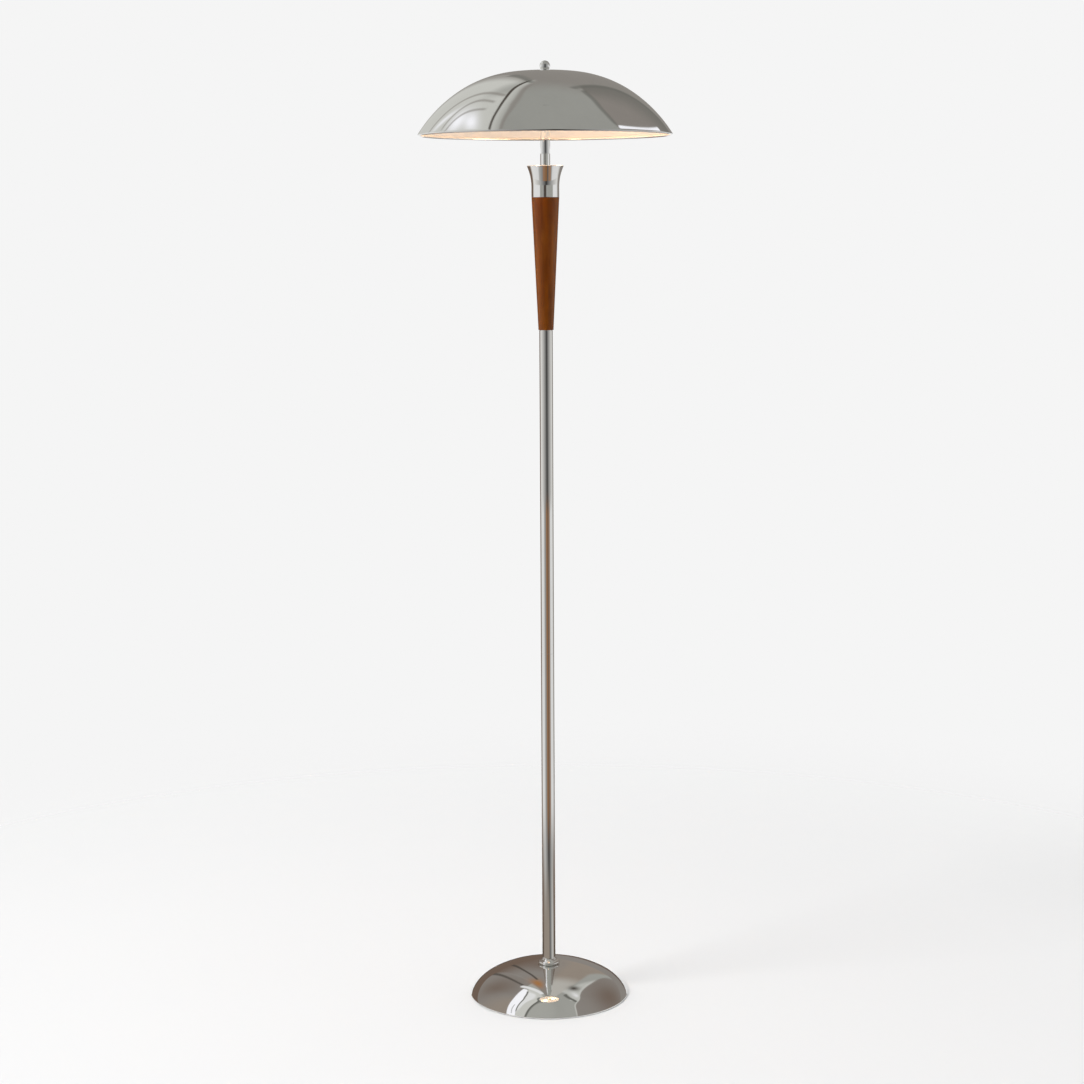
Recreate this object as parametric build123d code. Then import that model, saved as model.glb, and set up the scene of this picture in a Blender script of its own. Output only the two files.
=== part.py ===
"""Mushroom floor lamp: a spun dome shade on a slim post with a turned wood neck and a domed base.

The floor is Z = 0 and the post stands on the Z axis. +X is to the right and +Y to the back, where the
cord comes in. All sizes are in millimetres.
"""

from build123d import *
import os
from math import cos, radians, sin, sqrt
from typing import NamedTuple

# ---------------------------------------------------------------- driving dimensions
# Base
BASE_R = 135.5  # rim of the cover
BASE_SEAT_Z = 51.4  # floor to the flat seat under the post
BASE_SEAT_R = 20.0
BASE_CROWN_TURN = 29.8  # degrees that the crown arc turns through
BASE_RIM_SLOPE = 55.5  # degrees below level where the dome meets its lip
BASE_SHEET = 1.2
BASE_LIP = 1.5  # height of the upright lip
BASE_LIP_GAP = 0.5  # lip to the floor
PAD_THICK = 2.5
PAD_INSET = 14.5  # from the cover's rim
PAD_HOLE_R = 50.0
WEIGHT_INSET = 21.5  # from the cover's rim
WEIGHT_EDGE = 8.0  # height of the weight's outer edge
WEIGHT_COVER_GAP = 9.0  # least, between the weight and the cover's inside
WEIGHT_RECESS_R = 46.0  # mouth of the hollow under the hub
WEIGHT_HUB_R = 19.0
WEIGHT_HUB_THICK = 10.0
WEIGHT_HOLLOW_R = 28.0  # flat part of the hollow's roof
WEIGHT_HOLLOW_STEP = 12.0  # upright part of the hollow's wall
CHANNEL_WIDTH = 14.5  # cord channel in the weight
CHANNEL_HEIGHT = 12.5

# Post
POLE_R = 11.1
POLE_SECTION = 543.0  # each of the two sections
TUBE_WALL = 1.2
POLE_INSERT_LONG = 18.0
RING_R = 18.6
RING_TALL = 10.5
RING_BAND = 3.5  # radius of the ring's rounded outer edge

# Wood neck and flared cup
WOOD_LONG = 216.8
WOOD_TOP_R = 22.8
WOOD_FOOT_R = 12.5
WOOD_EDGE = 0.7  # rounding of both ends
CUP_TALL = 51.3
CUP_LIP_R = 30.5
CUP_STRAIGHT = 17.0  # height of the cup's straight foot
CUP_WALL = 2.0
CUP_FLOOR = 2.5

# Stem
STEM_R = 8.0
STEM_LONG = 115.0
STEM_INSERT_LONG = 15.0

# Light cluster
CAN_R = 20.0
CAN_TALL = 38.0
CAN_WALL = 1.2
CAN_COVER_THICK = 3.0
CAN_COVER_LIP = 3.0
SOCKET_AZIMUTH = 40.0  # the two sockets' common axis, degrees from +X towards +Y
SOCKET_ABOVE_CAN_FLOOR = 20.0
SWITCH_ABOVE_CAN_FLOOR = 13.0

# Shade
SHADE_R = 208.4
SHADE_DROP = 102.1  # crown to the end of the dome's outer arc
SHADE_SEAT_R = 11.6
SHADE_CROWN_TURN = 6.1  # degrees
SHADE_SHOULDER_TURN = 34.9  # degrees below level where the shoulder meets the flank
SHADE_RIM_SLOPE = 57.6  # degrees below level at the rim
SHADE_FLANK_RADIUS = 229.4
SHADE_SHEET = 0.9
SHADE_BEAD_R = 1.8  # the rim is rolled inwards
SHADE_RISE = 38.1  # cluster cover to the inside of the shade's crown

# Finial
FINIAL_BALL_R = 8.6
FINIAL_TALL = 15.2
FINIAL_NECK_R = 6.5
FINIAL_WASHER_THICK = 0.8
FINIAL_WASHER_R = 8.0
FINIAL_BORE_DEEP = 8.5

# Threaded pipe and nuts that hold the stack together
PIPE_R = 4.85
PIPE_BORE_R = 3.3
NUT_FLATS = 14.0
NUT_THICK = 5.0
THIN_NUT_THICK = 3.0
WASHER_R = 12.0
WASHER_THICK = 1.5
LOCK_WASHER_THICK = 1.2
NECK_WASHER_THICK = 0.8
PIPE_PROUD = 1.6  # pipe left standing past a nut
PIPE_REACH = 12.0  # pipe screwed into an insert
ROD_R = 3.1  # solid threaded rod that carries the shade
ROD_NUT_FLATS = 11.0
ROD_NUT_THICK = 4.0

# Switch
SWITCH_DEEP = 12.0
SWITCH_WIDE = 16.0
SWITCH_HIGH = 15.0
SWITCH_FROM_AXIS = 5.0
SWITCH_COLLAR_R = 4.0
SWITCH_COLLAR_PROUD = 5.5  # collar past the can's wall
SWITCH_NUT_FLATS = 11.0
SWITCH_NUT_THICK = 2.4
SWITCH_SHAFT_R = 2.2
SWITCH_SHAFT_INSIDE = 6.0  # shaft inside the switch body
KNOB_R = 7.5
KNOB_LONG = 15.0
KNOB_FLUTES = 16
KNOB_FLUTE_R = 0.9
KNOB_EDGE = 1.0
KNOB_GAP = 1.0  # knob to the end of the collar
KNOB_SOCKET_DEEP = 11.0

# Sockets and bulbs, measured out along the socket's own axis
SOCKET_R = 18.5
SOCKET_LONG = 39.0
SOCKET_FLOOR = 11.0
SOCKET_CHAMBER_R = 6.0
SOCKET_EDGE = 1.5
SHELL_WALL = 0.5
SHELL_FROM_FLOOR = 3.0
SHELL_MOUTH_GAP = 2.0
CONTACT_R = 4.0
CONTACT_THICK = 1.2
CAP_R = 13.1  # crest of the bulb's screw cap
CAP_LONG = 18.0
CAP_SKIRT = 5.0
THREAD_TURNS = 4
THREAD_DEEP = 0.8
CAP_WALL = 0.4
TIP_LONG = 4.2
TIP_R = 4.6
TIP_FOOT_R = 10.0
BULB_R = 30.0
BULB_LONG = 105.0  # contact to crown
BULB_FLARE_RADIUS = 60.0
BULB_WALL = 0.8
BULB_IN_CAP = 3.0

# Wiring
CABLE_R = 2.6
LEAD_R = 0.9
LEAD_SPREAD = 1.0
SPLICE_R = 3.0
SPLICE_LONG = 14.0
SPLICE_SPREAD = 3.3
SPLICE_FROM_BUSHING = 9.0
CORD_Z = 9.0  # height of the cord's way in
BUSHING_R = 5.2
BUSHING_BORE_R = 3.1
BUSHING_LONG = 15.0
BUSHING_INSET = 1.5  # its outer face, from the cover's rim
BUSHING_EDGE = 0.8

# Clearances
THREAD_GAP = 0.05  # radial, a screwed or pressed fit
HOLE_GAP = 0.4  # radial, a bolt or pipe through a plain hole
SLEEVE_GAP = 0.1  # radial, a ring or washer round a tube
TURN_GAP = 0.1  # between a turning piece and the piece it faces

# ---------------------------------------------------------------- places that follow
PAD_R = BASE_R - PAD_INSET
WEIGHT_R = BASE_R - WEIGHT_INSET
BUSHING_OUT = BASE_R - BUSHING_INSET
BUSHING_IN = BUSHING_OUT - BUSHING_LONG
CABLE_START_Y = BUSHING_IN - SPLICE_FROM_BUSHING - SPLICE_LONG
POLE_Z = BASE_SEAT_Z
JOINT_Z = POLE_Z + POLE_SECTION
POLE_TOP_Z = JOINT_Z + POLE_SECTION
WOOD_Z = POLE_TOP_Z + NECK_WASHER_THICK
CUP_Z = WOOD_Z + WOOD_LONG
CUP_FLOOR_Z = CUP_Z + CUP_FLOOR
CUP_NUT_Z = CUP_FLOOR_Z + WASHER_THICK
STEM_Z = CUP_NUT_Z + NUT_THICK
CAN_Z = STEM_Z + STEM_LONG
CAN_FLOOR_Z = CAN_Z + CAN_WALL
CAN_TOP_Z = CAN_Z + CAN_TALL
COVER_TOP_Z = CAN_TOP_Z + CAN_COVER_THICK
SHADE_UNDER_Z = COVER_TOP_Z + SHADE_RISE
SHADE_TOP_Z = SHADE_UNDER_Z + SHADE_SHEET
FINIAL_WASHER_Z = SHADE_TOP_Z + FINIAL_WASHER_THICK
FINIAL_Z = FINIAL_WASHER_Z + TURN_GAP
SOCKET_Z = CAN_Z + SOCKET_ABOVE_CAN_FLOOR
SWITCH_Z = CAN_Z + SWITCH_ABOVE_CAN_FLOOR
CABLE_TOP_Z = SOCKET_Z + 2 * LEAD_R
SWITCH_AZIMUTH = SOCKET_AZIMUTH - 90.0
HUB_TOP_Z = BASE_SEAT_Z - BASE_SHEET
HUB_UNDER_Z = HUB_TOP_Z - WEIGHT_HUB_THICK
BASE_NUT_Z = HUB_UNDER_Z - WASHER_THICK - LOCK_WASHER_THICK - NUT_THICK
BASE_PIPE_Z = BASE_NUT_Z - PIPE_PROUD
CUP_FOOT_R = WOOD_TOP_R
SOCKET_FROM_AXIS = CAN_R + THIN_NUT_THICK
SOCKET_MOUTH = SOCKET_FROM_AXIS + SOCKET_LONG
SOCKET_CAVITY = SOCKET_FROM_AXIS + SOCKET_FLOOR
SHELL_R = CAP_R + 3 * SLEEVE_GAP + SHELL_WALL
BULB_TIP = SOCKET_CAVITY + CONTACT_THICK
CAP_FOOT = BULB_TIP + TIP_LONG
CAP_END = CAP_FOOT + CAP_LONG
BULB_CROWN = BULB_TIP + BULB_LONG
CAP_ROOT_R = CAP_R - THREAD_DEEP
BULB_NECK_R = CAP_ROOT_R - CAP_WALL - SLEEVE_GAP
SOCKET_SIDES = {"right": SOCKET_AZIMUTH, "left": SOCKET_AZIMUTH + 180.0}


# ---------------------------------------------------------------- helpers
class Bend(NamedTuple):
    """A step of an outline that runs along an arc through mid to end, both (r, z)."""

    mid: tuple
    end: tuple


class DomeArc(NamedTuple):
    """One arc of a dome's outline. Angles are from the vertical, so the slope is the angle."""

    centre_r: float
    centre_z: float
    radius: float
    start: float
    end: float

    def point(self, angle, inset=0.0):
        reach = self.radius - inset
        return self.centre_r + reach * sin(angle), self.centre_z + reach * cos(angle)

    def bend(self, inset=0.0, back=False):
        last = self.start if back else self.end
        return Bend(self.point((self.start + self.end) / 2, inset), self.point(last, inset))


def turned(steps):
    """A solid of revolution about Z from a closed outline of (r, z) points and Bends."""
    edges, here = [], steps[0]
    for step in steps[1:] + [steps[0]]:
        ends = (step.mid, step.end) if isinstance(step, Bend) else (step,)
        points = [Vector(r, 0, z) for r, z in (here, *ends)]
        make = Edge.make_three_point_arc if len(points) == 3 else Edge.make_line
        edges.append(make(*points))
        here = ends[-1]
    return revolve(Face(Wire(edges)), Axis.Z)


def ring(outer_r, inner_r, low, high):
    """A tube, washer or disc about Z between two heights."""
    return turned([(inner_r, low), (outer_r, low), (outer_r, high), (inner_r, high)])


def rod(radius, low, high):
    """A solid cylinder about Z between two heights."""
    return Pos(0, 0, low) * extrude(Circle(radius), high - low)


def block(wide, deep, low, high):
    """A rectangular block about Z between two heights."""
    return Pos(0, 0, low) * extrude(Rectangle(wide, deep), high - low)


def nut(flats, bore_r, low, thick):
    """A hexagon nut about Z that stands on a height."""
    profile = RegularPolygon(flats / 2, 6, major_radius=False) - Circle(bore_r)
    return Pos(0, 0, low) * extrude(profile, thick)


def outward(azimuth, height):
    """The frame whose own Z runs level and outward from the post at an azimuth and a height."""
    return Pos(0, 0, height) * Rot(0, 0, azimuth) * Rot(0, 90, 0)


def dome_arcs(seat, rim, turns, flank_radius=None):
    """Tangent arcs from a level seat edge to the rim, both (r, z).

    turns lists the slope in degrees at the end of each arc. Two radii follow from the seat and the
    rim; a third arc, the flank, has a radius of its own.
    """
    angles = [radians(t) for t in turns]
    across, down = rim[0] - seat[0], seat[1] - rim[1]
    radii = []
    if flank_radius is not None:
        across -= flank_radius * (sin(angles[2]) - sin(angles[1]))
        down -= flank_radius * (cos(angles[1]) - cos(angles[2]))
        radii = [flank_radius]
    a, b = angles[0], angles[1]
    over = ((sin(a), sin(b) - sin(a)), (1 - cos(a), cos(a) - cos(b)))
    scale = over[0][0] * over[1][1] - over[0][1] * over[1][0]
    crown = (across * over[1][1] - over[0][1] * down) / scale
    shoulder = (over[0][0] * down - over[1][0] * across) / scale
    arcs, start, (r, z) = [], 0.0, seat
    for radius, end in zip([crown, shoulder] + radii, angles):
        arc = DomeArc(r - radius * sin(start), z - radius * cos(start), radius, start, end)
        arcs.append(arc)
        start, (r, z) = end, arc.point(end)
    return arcs


def dome_shell(arcs, hole_r, sheet, lip=()):
    """A spun dome of even thickness with a hole in its seat; lip lists the points round its edge."""
    seat_z = arcs[0].point(0.0)[1]
    outer = [(hole_r, seat_z), arcs[0].point(0.0)] + [arc.bend() for arc in arcs]
    inner = [arcs[-1].point(arcs[-1].end, sheet)]
    inner += [arc.bend(sheet, back=True) for arc in reversed(arcs)]
    return turned(outer + list(lip) + inner + [(hole_r, seat_z - sheet)])


def lead_tube(points, radii, radius):
    """A round cable along straight runs joined by tangent arcs."""
    path = FilletPolyline(*points, radius=radii) if radii else Polyline(*points)
    start = Plane(origin=path @ 0, z_dir=path % 0)
    return sweep(start * Circle(radius), path=path)


# ---------------------------------------------------------------- base
def base_arcs():
    rim_z = BASE_LIP_GAP + BASE_LIP
    return dome_arcs((BASE_SEAT_R, BASE_SEAT_Z), (BASE_R, rim_z), (BASE_CROWN_TURN, BASE_RIM_SLOPE))


def base_cover():
    """Spun steel dome with an upright lip and the hole for the cord bushing at the back."""
    lip = [(BASE_R, BASE_LIP_GAP), (BASE_R - BASE_SHEET, BASE_LIP_GAP)]
    shell = dome_shell(base_arcs(), PIPE_R + HOLE_GAP, BASE_SHEET, lip)
    way_in = outward(90, CORD_Z) * rod(BUSHING_R + SLEEVE_GAP, BUSHING_IN, BASE_R)
    return shell - way_in


def base_weight():
    """Cast disc that follows the cover, hollow under its hub for the nut and the cable's bend."""
    inset = BASE_SHEET + WEIGHT_COVER_GAP
    crown = base_arcs()[0]
    hollow_z = PAD_THICK + WEIGHT_HOLLOW_STEP
    body = turned(
        [
            (PIPE_R + HOLE_GAP, HUB_UNDER_Z),
            (WEIGHT_HOLLOW_R, HUB_UNDER_Z),
            (WEIGHT_RECESS_R, hollow_z),
            (WEIGHT_RECESS_R, PAD_THICK),
            (WEIGHT_R, PAD_THICK),
            (WEIGHT_R, PAD_THICK + WEIGHT_EDGE),
            crown.point(crown.end, inset),
            crown.point(crown.end / 2, inset),
            (WEIGHT_HUB_R, crown.point(0.0, inset)[1]),
            (WEIGHT_HUB_R, HUB_TOP_Z),
            (PIPE_R + HOLE_GAP, HUB_TOP_Z),
        ]
    )
    channel = block(CHANNEL_HEIGHT, CHANNEL_WIDTH, WEIGHT_HOLLOW_R, WEIGHT_R + CHANNEL_WIDTH)
    return body - outward(90, PAD_THICK + CHANNEL_HEIGHT / 2) * channel


def base_pad():
    """Foam ring that the lamp stands on."""
    return ring(PAD_R, PAD_HOLE_R, 0, PAD_THICK)


def base_fasteners():
    washer_z = HUB_UNDER_Z - WASHER_THICK
    lock_z = washer_z - LOCK_WASHER_THICK
    hole_r = PIPE_R + THREAD_GAP
    return {
        "base_washer": ring(WASHER_R, hole_r, washer_z, HUB_UNDER_Z),
        "base_lock_washer": ring(NUT_FLATS / 2, hole_r, lock_z, washer_z),
        "base_nut": nut(NUT_FLATS, hole_r, BASE_NUT_Z, NUT_THICK),
        "base_pipe": ring(PIPE_R, PIPE_BORE_R, BASE_PIPE_Z, POLE_Z + PIPE_REACH),
    }


def cord_bushing():
    """Plastic bushing through the back of the cover, with an open bore for the supply cord."""
    body = ring(BUSHING_R, BUSHING_BORE_R, BUSHING_IN, BUSHING_OUT)
    mouth = body.edges().filter_by(GeomType.CIRCLE).group_by(Axis.Z)[-1]
    return outward(90, CORD_Z) * fillet(mouth, BUSHING_EDGE)


def lamp_cable():
    """Cable from the splices in the base, up the bore of the post, to the light cluster."""
    turn = BASE_PIPE_Z - CORD_Z
    return lead_tube([(0, CABLE_START_Y, CORD_Z), (0, 0, CORD_Z), (0, 0, CABLE_TOP_Z)], turn, CABLE_R)


def splice_caps():
    """Two crimp caps that join the cable's two cores to a supply cord."""
    cap = outward(90, CORD_Z) * rod(SPLICE_R, CABLE_START_Y, CABLE_START_Y + SPLICE_LONG)
    return Compound([Pos(side * SPLICE_SPREAD, 0, 0) * cap for side in (-1, 1)])


# ---------------------------------------------------------------- post
def foot_ring():
    """Rounded ring that hides the foot of the post."""
    low, high = POLE_Z, POLE_Z + RING_TALL
    inner = POLE_R + SLEEVE_GAP
    band_z = low + RING_BAND
    band_top = (RING_R - RING_BAND, band_z + RING_BAND)
    slant = RING_BAND * sqrt(0.5)
    return turned(
        [
            (inner, low),
            (RING_R - RING_BAND, low),
            Bend((RING_R - RING_BAND + slant, band_z - slant), (RING_R, band_z)),
            Bend((RING_R - RING_BAND + slant, band_z + slant), band_top),
            ((band_top[0] + inner) / 2, (band_top[1] + high) / 2 - RING_BAND / 4),
            (inner + RING_BAND / 4, high),
            (inner, high),
        ]
    )


def tube(radius, low, long):
    return ring(radius, radius - TUBE_WALL, low, low + long)


def insert(tube_r, low, long):
    """Threaded plug pressed into the end of a tube."""
    return ring(tube_r - TUBE_WALL - THREAD_GAP, PIPE_R + THREAD_GAP, low, low + long)


def post():
    long = POLE_INSERT_LONG
    return {
        "foot_ring": foot_ring(),
        "pole_lower": tube(POLE_R, POLE_Z, POLE_SECTION),
        "pole_upper": tube(POLE_R, JOINT_Z, POLE_SECTION),
        "pole_foot_insert": insert(POLE_R, POLE_Z, long),
        "pole_joint_lower_insert": insert(POLE_R, JOINT_Z - long, long),
        "pole_joint_upper_insert": insert(POLE_R, JOINT_Z, long),
        "pole_top_insert": insert(POLE_R, POLE_TOP_Z - long, long),
        "pole_joint_pipe": ring(PIPE_R, PIPE_BORE_R, JOINT_Z - PIPE_REACH, JOINT_Z + PIPE_REACH),
    }


# ---------------------------------------------------------------- neck
def wood_neck():
    """Turned taper, wide at the top, with softened ends and a bore for the pipe."""
    top = WOOD_Z + WOOD_LONG
    lean = (WOOD_TOP_R - WOOD_FOOT_R) / WOOD_LONG
    soft = WOOD_EDGE * sqrt(0.5)
    foot_mid = (WOOD_FOOT_R - WOOD_EDGE + soft, WOOD_Z + WOOD_EDGE - soft)
    top_mid = (WOOD_TOP_R - WOOD_EDGE + soft, top - WOOD_EDGE + soft)
    bore_r = PIPE_R + HOLE_GAP
    return turned(
        [
            (bore_r, WOOD_Z),
            (WOOD_FOOT_R - WOOD_EDGE, WOOD_Z),
            Bend(foot_mid, (WOOD_FOOT_R + lean * WOOD_EDGE, WOOD_Z + WOOD_EDGE)),
            (WOOD_TOP_R - lean * WOOD_EDGE, top - WOOD_EDGE),
            Bend(top_mid, (WOOD_TOP_R - WOOD_EDGE, top)),
            (bore_r, top),
        ]
    )


def cup_wall(height, inset=0.0):
    """The flared cup's radius at a height above its foot, taken in by inset."""
    flare = CUP_TALL - CUP_STRAIGHT
    out = CUP_LIP_R - CUP_FOOT_R
    radius = (flare**2 + out**2) / (2 * out)
    up = max(height - CUP_STRAIGHT, 0.0)
    return CUP_FOOT_R + radius - sqrt((radius + inset) ** 2 - up**2)


def neck_cup():
    """Flared metal cup, open at the top, with a rounded lip."""
    lip_r = CUP_WALL / 2
    inner_top = cup_wall(CUP_TALL, CUP_WALL)
    flare_mid = (CUP_STRAIGHT + CUP_TALL) / 2
    outer_foot = (CUP_FOOT_R, CUP_Z + CUP_STRAIGHT)
    inner_foot = (CUP_FOOT_R - CUP_WALL, CUP_Z + CUP_STRAIGHT)
    lip_mid = ((CUP_LIP_R + inner_top) / 2, CUP_Z + CUP_TALL)
    lip_z = CUP_Z + CUP_TALL - lip_r / 2
    return turned(
        [
            (PIPE_R + HOLE_GAP, CUP_Z),
            (CUP_FOOT_R, CUP_Z),
            outer_foot,
            Bend((cup_wall(flare_mid), CUP_Z + flare_mid), (CUP_LIP_R, lip_z)),
            Bend(lip_mid, (inner_top, lip_z)),
            Bend((cup_wall(flare_mid, CUP_WALL), CUP_Z + flare_mid), inner_foot),
            (CUP_FOOT_R - CUP_WALL, CUP_FLOOR_Z),
            (PIPE_R + HOLE_GAP, CUP_FLOOR_Z),
        ]
    )


def neck():
    hole_r = PIPE_R + THREAD_GAP
    return {
        "neck_washer": ring(POLE_R - TUBE_WALL / 2, hole_r, POLE_TOP_Z, WOOD_Z),
        "neck_pipe": ring(PIPE_R, PIPE_BORE_R, POLE_TOP_Z - PIPE_REACH, STEM_Z + PIPE_REACH),
        "wood_neck": wood_neck(),
        "neck_cup": neck_cup(),
        "cup_washer": ring(WASHER_R, hole_r, CUP_FLOOR_Z, CUP_NUT_Z),
        "cup_nut": nut(NUT_FLATS, hole_r, CUP_NUT_Z, NUT_THICK),
    }


def stem():
    long = STEM_INSERT_LONG
    return {
        "stem_tube": tube(STEM_R, STEM_Z, STEM_LONG),
        "stem_foot_insert": insert(STEM_R, STEM_Z, long),
        "stem_top_insert": insert(STEM_R, CAN_Z - long, long),
    }


# ---------------------------------------------------------------- light cluster
def cluster_can():
    """Round metal can with holes for the stem, the two sockets and the switch."""
    can = ring(CAN_R, PIPE_R + SLEEVE_GAP, CAN_Z, CAN_TOP_Z) - rod(CAN_R - CAN_WALL, CAN_FLOOR_Z, CAN_TOP_Z)
    for azimuth in SOCKET_SIDES.values():
        can -= outward(azimuth, SOCKET_Z) * rod(PIPE_R + SLEEVE_GAP, 0, 2 * CAN_R)
    return can - outward(SWITCH_AZIMUTH, SWITCH_Z) * rod(SWITCH_COLLAR_R + SLEEVE_GAP, 0, 2 * CAN_R)


def cluster_cover():
    """Lid of the can, with a lip that drops inside its wall."""
    inside_r = CAN_R - CAN_WALL - SLEEVE_GAP
    hole_r = ROD_R + SLEEVE_GAP
    crown_r = CAN_R - CAN_COVER_THICK
    soft = CAN_COVER_THICK * sqrt(0.5)
    return turned(
        [
            (hole_r, CAN_TOP_Z),
            (inside_r - CAN_WALL, CAN_TOP_Z),
            (inside_r - CAN_WALL, CAN_TOP_Z - CAN_COVER_LIP),
            (inside_r, CAN_TOP_Z - CAN_COVER_LIP),
            (inside_r, CAN_TOP_Z),
            (CAN_R, CAN_TOP_Z),
            Bend((crown_r + soft, CAN_TOP_Z + soft), (crown_r, COVER_TOP_Z)),
            (hole_r, COVER_TOP_Z),
        ]
    )


def cluster():
    nut_z = CAN_FLOOR_Z
    pipe_top = nut_z + THIN_NUT_THICK + PIPE_PROUD
    return {
        "cluster_can": cluster_can(),
        "cluster_cover": cluster_cover(),
        "cluster_pipe": ring(PIPE_R, PIPE_BORE_R, CAN_Z - PIPE_REACH, pipe_top),
        "cluster_nut": nut(NUT_FLATS, PIPE_R + THREAD_GAP, nut_z, THIN_NUT_THICK),
    }


def socket_nuts():
    """A thin nut inside and outside the can on each socket's pipe."""
    inner = sqrt((CAN_R - CAN_WALL) ** 2 - NUT_FLATS**2 / 3) - THREAD_GAP
    nuts = []
    for azimuth in SOCKET_SIDES.values():
        for low in (inner - THIN_NUT_THICK, CAN_R):
            place = outward(azimuth, SOCKET_Z)
            nuts.append(place * nut(NUT_FLATS, PIPE_R + THREAD_GAP, low, THIN_NUT_THICK))
    return Compound(nuts)


def socket_body():
    """Moulded socket about Z, foot at SOCKET_FROM_AXIS and open at its mouth."""
    foot, mouth = SOCKET_FROM_AXIS, SOCKET_MOUTH
    bore_r = PIPE_R + THREAD_GAP
    pipe_end = foot + SOCKET_FLOOR / 2
    soft = SOCKET_EDGE * (1 - sqrt(0.5))
    return turned(
        [
            (bore_r, foot),
            (SOCKET_R - SOCKET_EDGE, foot),
            Bend((SOCKET_R - soft, foot + soft), (SOCKET_R, foot + SOCKET_EDGE)),
            (SOCKET_R, mouth),
            (SHELL_R + SLEEVE_GAP, mouth),
            (SHELL_R + SLEEVE_GAP, SOCKET_CAVITY),
            (CONTACT_R / 2, SOCKET_CAVITY),
            (CONTACT_R / 2, SOCKET_CAVITY - CONTACT_THICK),
            (SOCKET_CHAMBER_R, SOCKET_CAVITY - CONTACT_THICK),
            (SOCKET_CHAMBER_R, pipe_end),
            (bore_r, pipe_end),
        ]
    )


def bulb_cap():
    """Thin screw cap with rounded thread crests."""
    root = CAP_ROOT_R
    pitch = (CAP_LONG - CAP_SKIRT) / THREAD_TURNS
    steps = [(root - CAP_WALL, CAP_END), (root - CAP_WALL, CAP_FOOT), (root, CAP_FOOT)]
    for turn in range(THREAD_TURNS):
        low = CAP_FOOT + turn * pitch
        steps.append(Bend((CAP_R, low + pitch / 2), (root, low + pitch)))
    return turned(steps + [(root, CAP_END)])


def bulb_tip():
    """Insulator and centre contact at the foot of the screw cap."""
    return turned(
        [
            (0, BULB_TIP),
            (TIP_R, BULB_TIP),
            (TIP_FOOT_R, CAP_FOOT),
            (0, CAP_FOOT),
        ]
    )


def bulb_glass():
    """Frosted envelope: a ball that flares down to a neck inside the cap."""
    ball = BULB_CROWN - BULB_R
    reach = sqrt((BULB_R + BULB_FLARE_RADIUS) ** 2 - (BULB_NECK_R + BULB_FLARE_RADIUS) ** 2)
    flare = ball - reach
    lean = (BULB_NECK_R + BULB_FLARE_RADIUS) / (BULB_R + BULB_FLARE_RADIUS)
    along = reach / (BULB_R + BULB_FLARE_RADIUS)
    foot = CAP_END - BULB_IN_CAP

    def wall(inset):
        """Outline from the crown to the foot of the neck."""
        ball_r, flare_r = BULB_R - inset, BULB_FLARE_RADIUS + inset
        neck_r = BULB_NECK_R - inset
        meet = (ball_r * lean, ball - ball_r * along)
        half = (1 + lean) / 2
        side = sqrt(1 - half**2)
        near = sqrt(0.5 * (1 + along)), sqrt(0.5 * (1 - along))
        ball_mid = (ball_r * near[0], ball + ball_r * near[1])
        flare_mid = (neck_r + flare_r * (1 - half), flare + flare_r * side)
        return (0, ball + ball_r), Bend(ball_mid, meet), Bend(flare_mid, (neck_r, flare)), (neck_r, foot)

    outer, inner = wall(0.0), wall(BULB_WALL)
    shell = turned([*outer, (0, foot)])
    return shell - turned([*inner, (0, foot)])


def socket_parts():
    """Everything that stands out from the can on each side."""
    parts = {}
    pipe_in = CAN_R - CAN_WALL - 2 * THIN_NUT_THICK
    shell_foot = SOCKET_CAVITY + SHELL_FROM_FLOOR
    for side, azimuth in SOCKET_SIDES.items():
        pieces = {
            "socket_pipe": ring(PIPE_R, PIPE_BORE_R, pipe_in, SOCKET_FROM_AXIS + SOCKET_FLOOR / 2),
            "socket_body": socket_body(),
            "socket_shell": ring(SHELL_R, SHELL_R - SHELL_WALL, shell_foot, SOCKET_MOUTH - SHELL_MOUTH_GAP),
            "socket_contact": rod(CONTACT_R, SOCKET_CAVITY, SOCKET_CAVITY + CONTACT_THICK),
            "bulb_cap": bulb_cap(),
            "bulb_tip": bulb_tip(),
            "bulb_glass": bulb_glass(),
        }
        for name, piece in pieces.items():
            parts[f"{name}_{side}"] = outward(azimuth, SOCKET_Z) * piece
    return parts


def cluster_leads():
    """Pairs of insulated leads from the cable's top to the two sockets and the switch."""
    ends = [(azimuth, SOCKET_Z, SOCKET_CAVITY - CONTACT_THICK) for azimuth in SOCKET_SIDES.values()]
    ends.append((SWITCH_AZIMUTH, SWITCH_Z, SWITCH_FROM_AXIS))
    leads = []
    for azimuth, height, end in ends:
        for side in (-1, 1):
            shift = Pos(0, side * (LEAD_R + LEAD_SPREAD / 2), 0)
            leads.append(outward(azimuth, height) * shift * rod(LEAD_R, 0, end))
    cable = rod(CABLE_R, CAN_Z, CAN_TOP_Z)
    return Compound([lead - cable for lead in leads])


def switch_place():
    return outward(SWITCH_AZIMUTH, SWITCH_Z)


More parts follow.
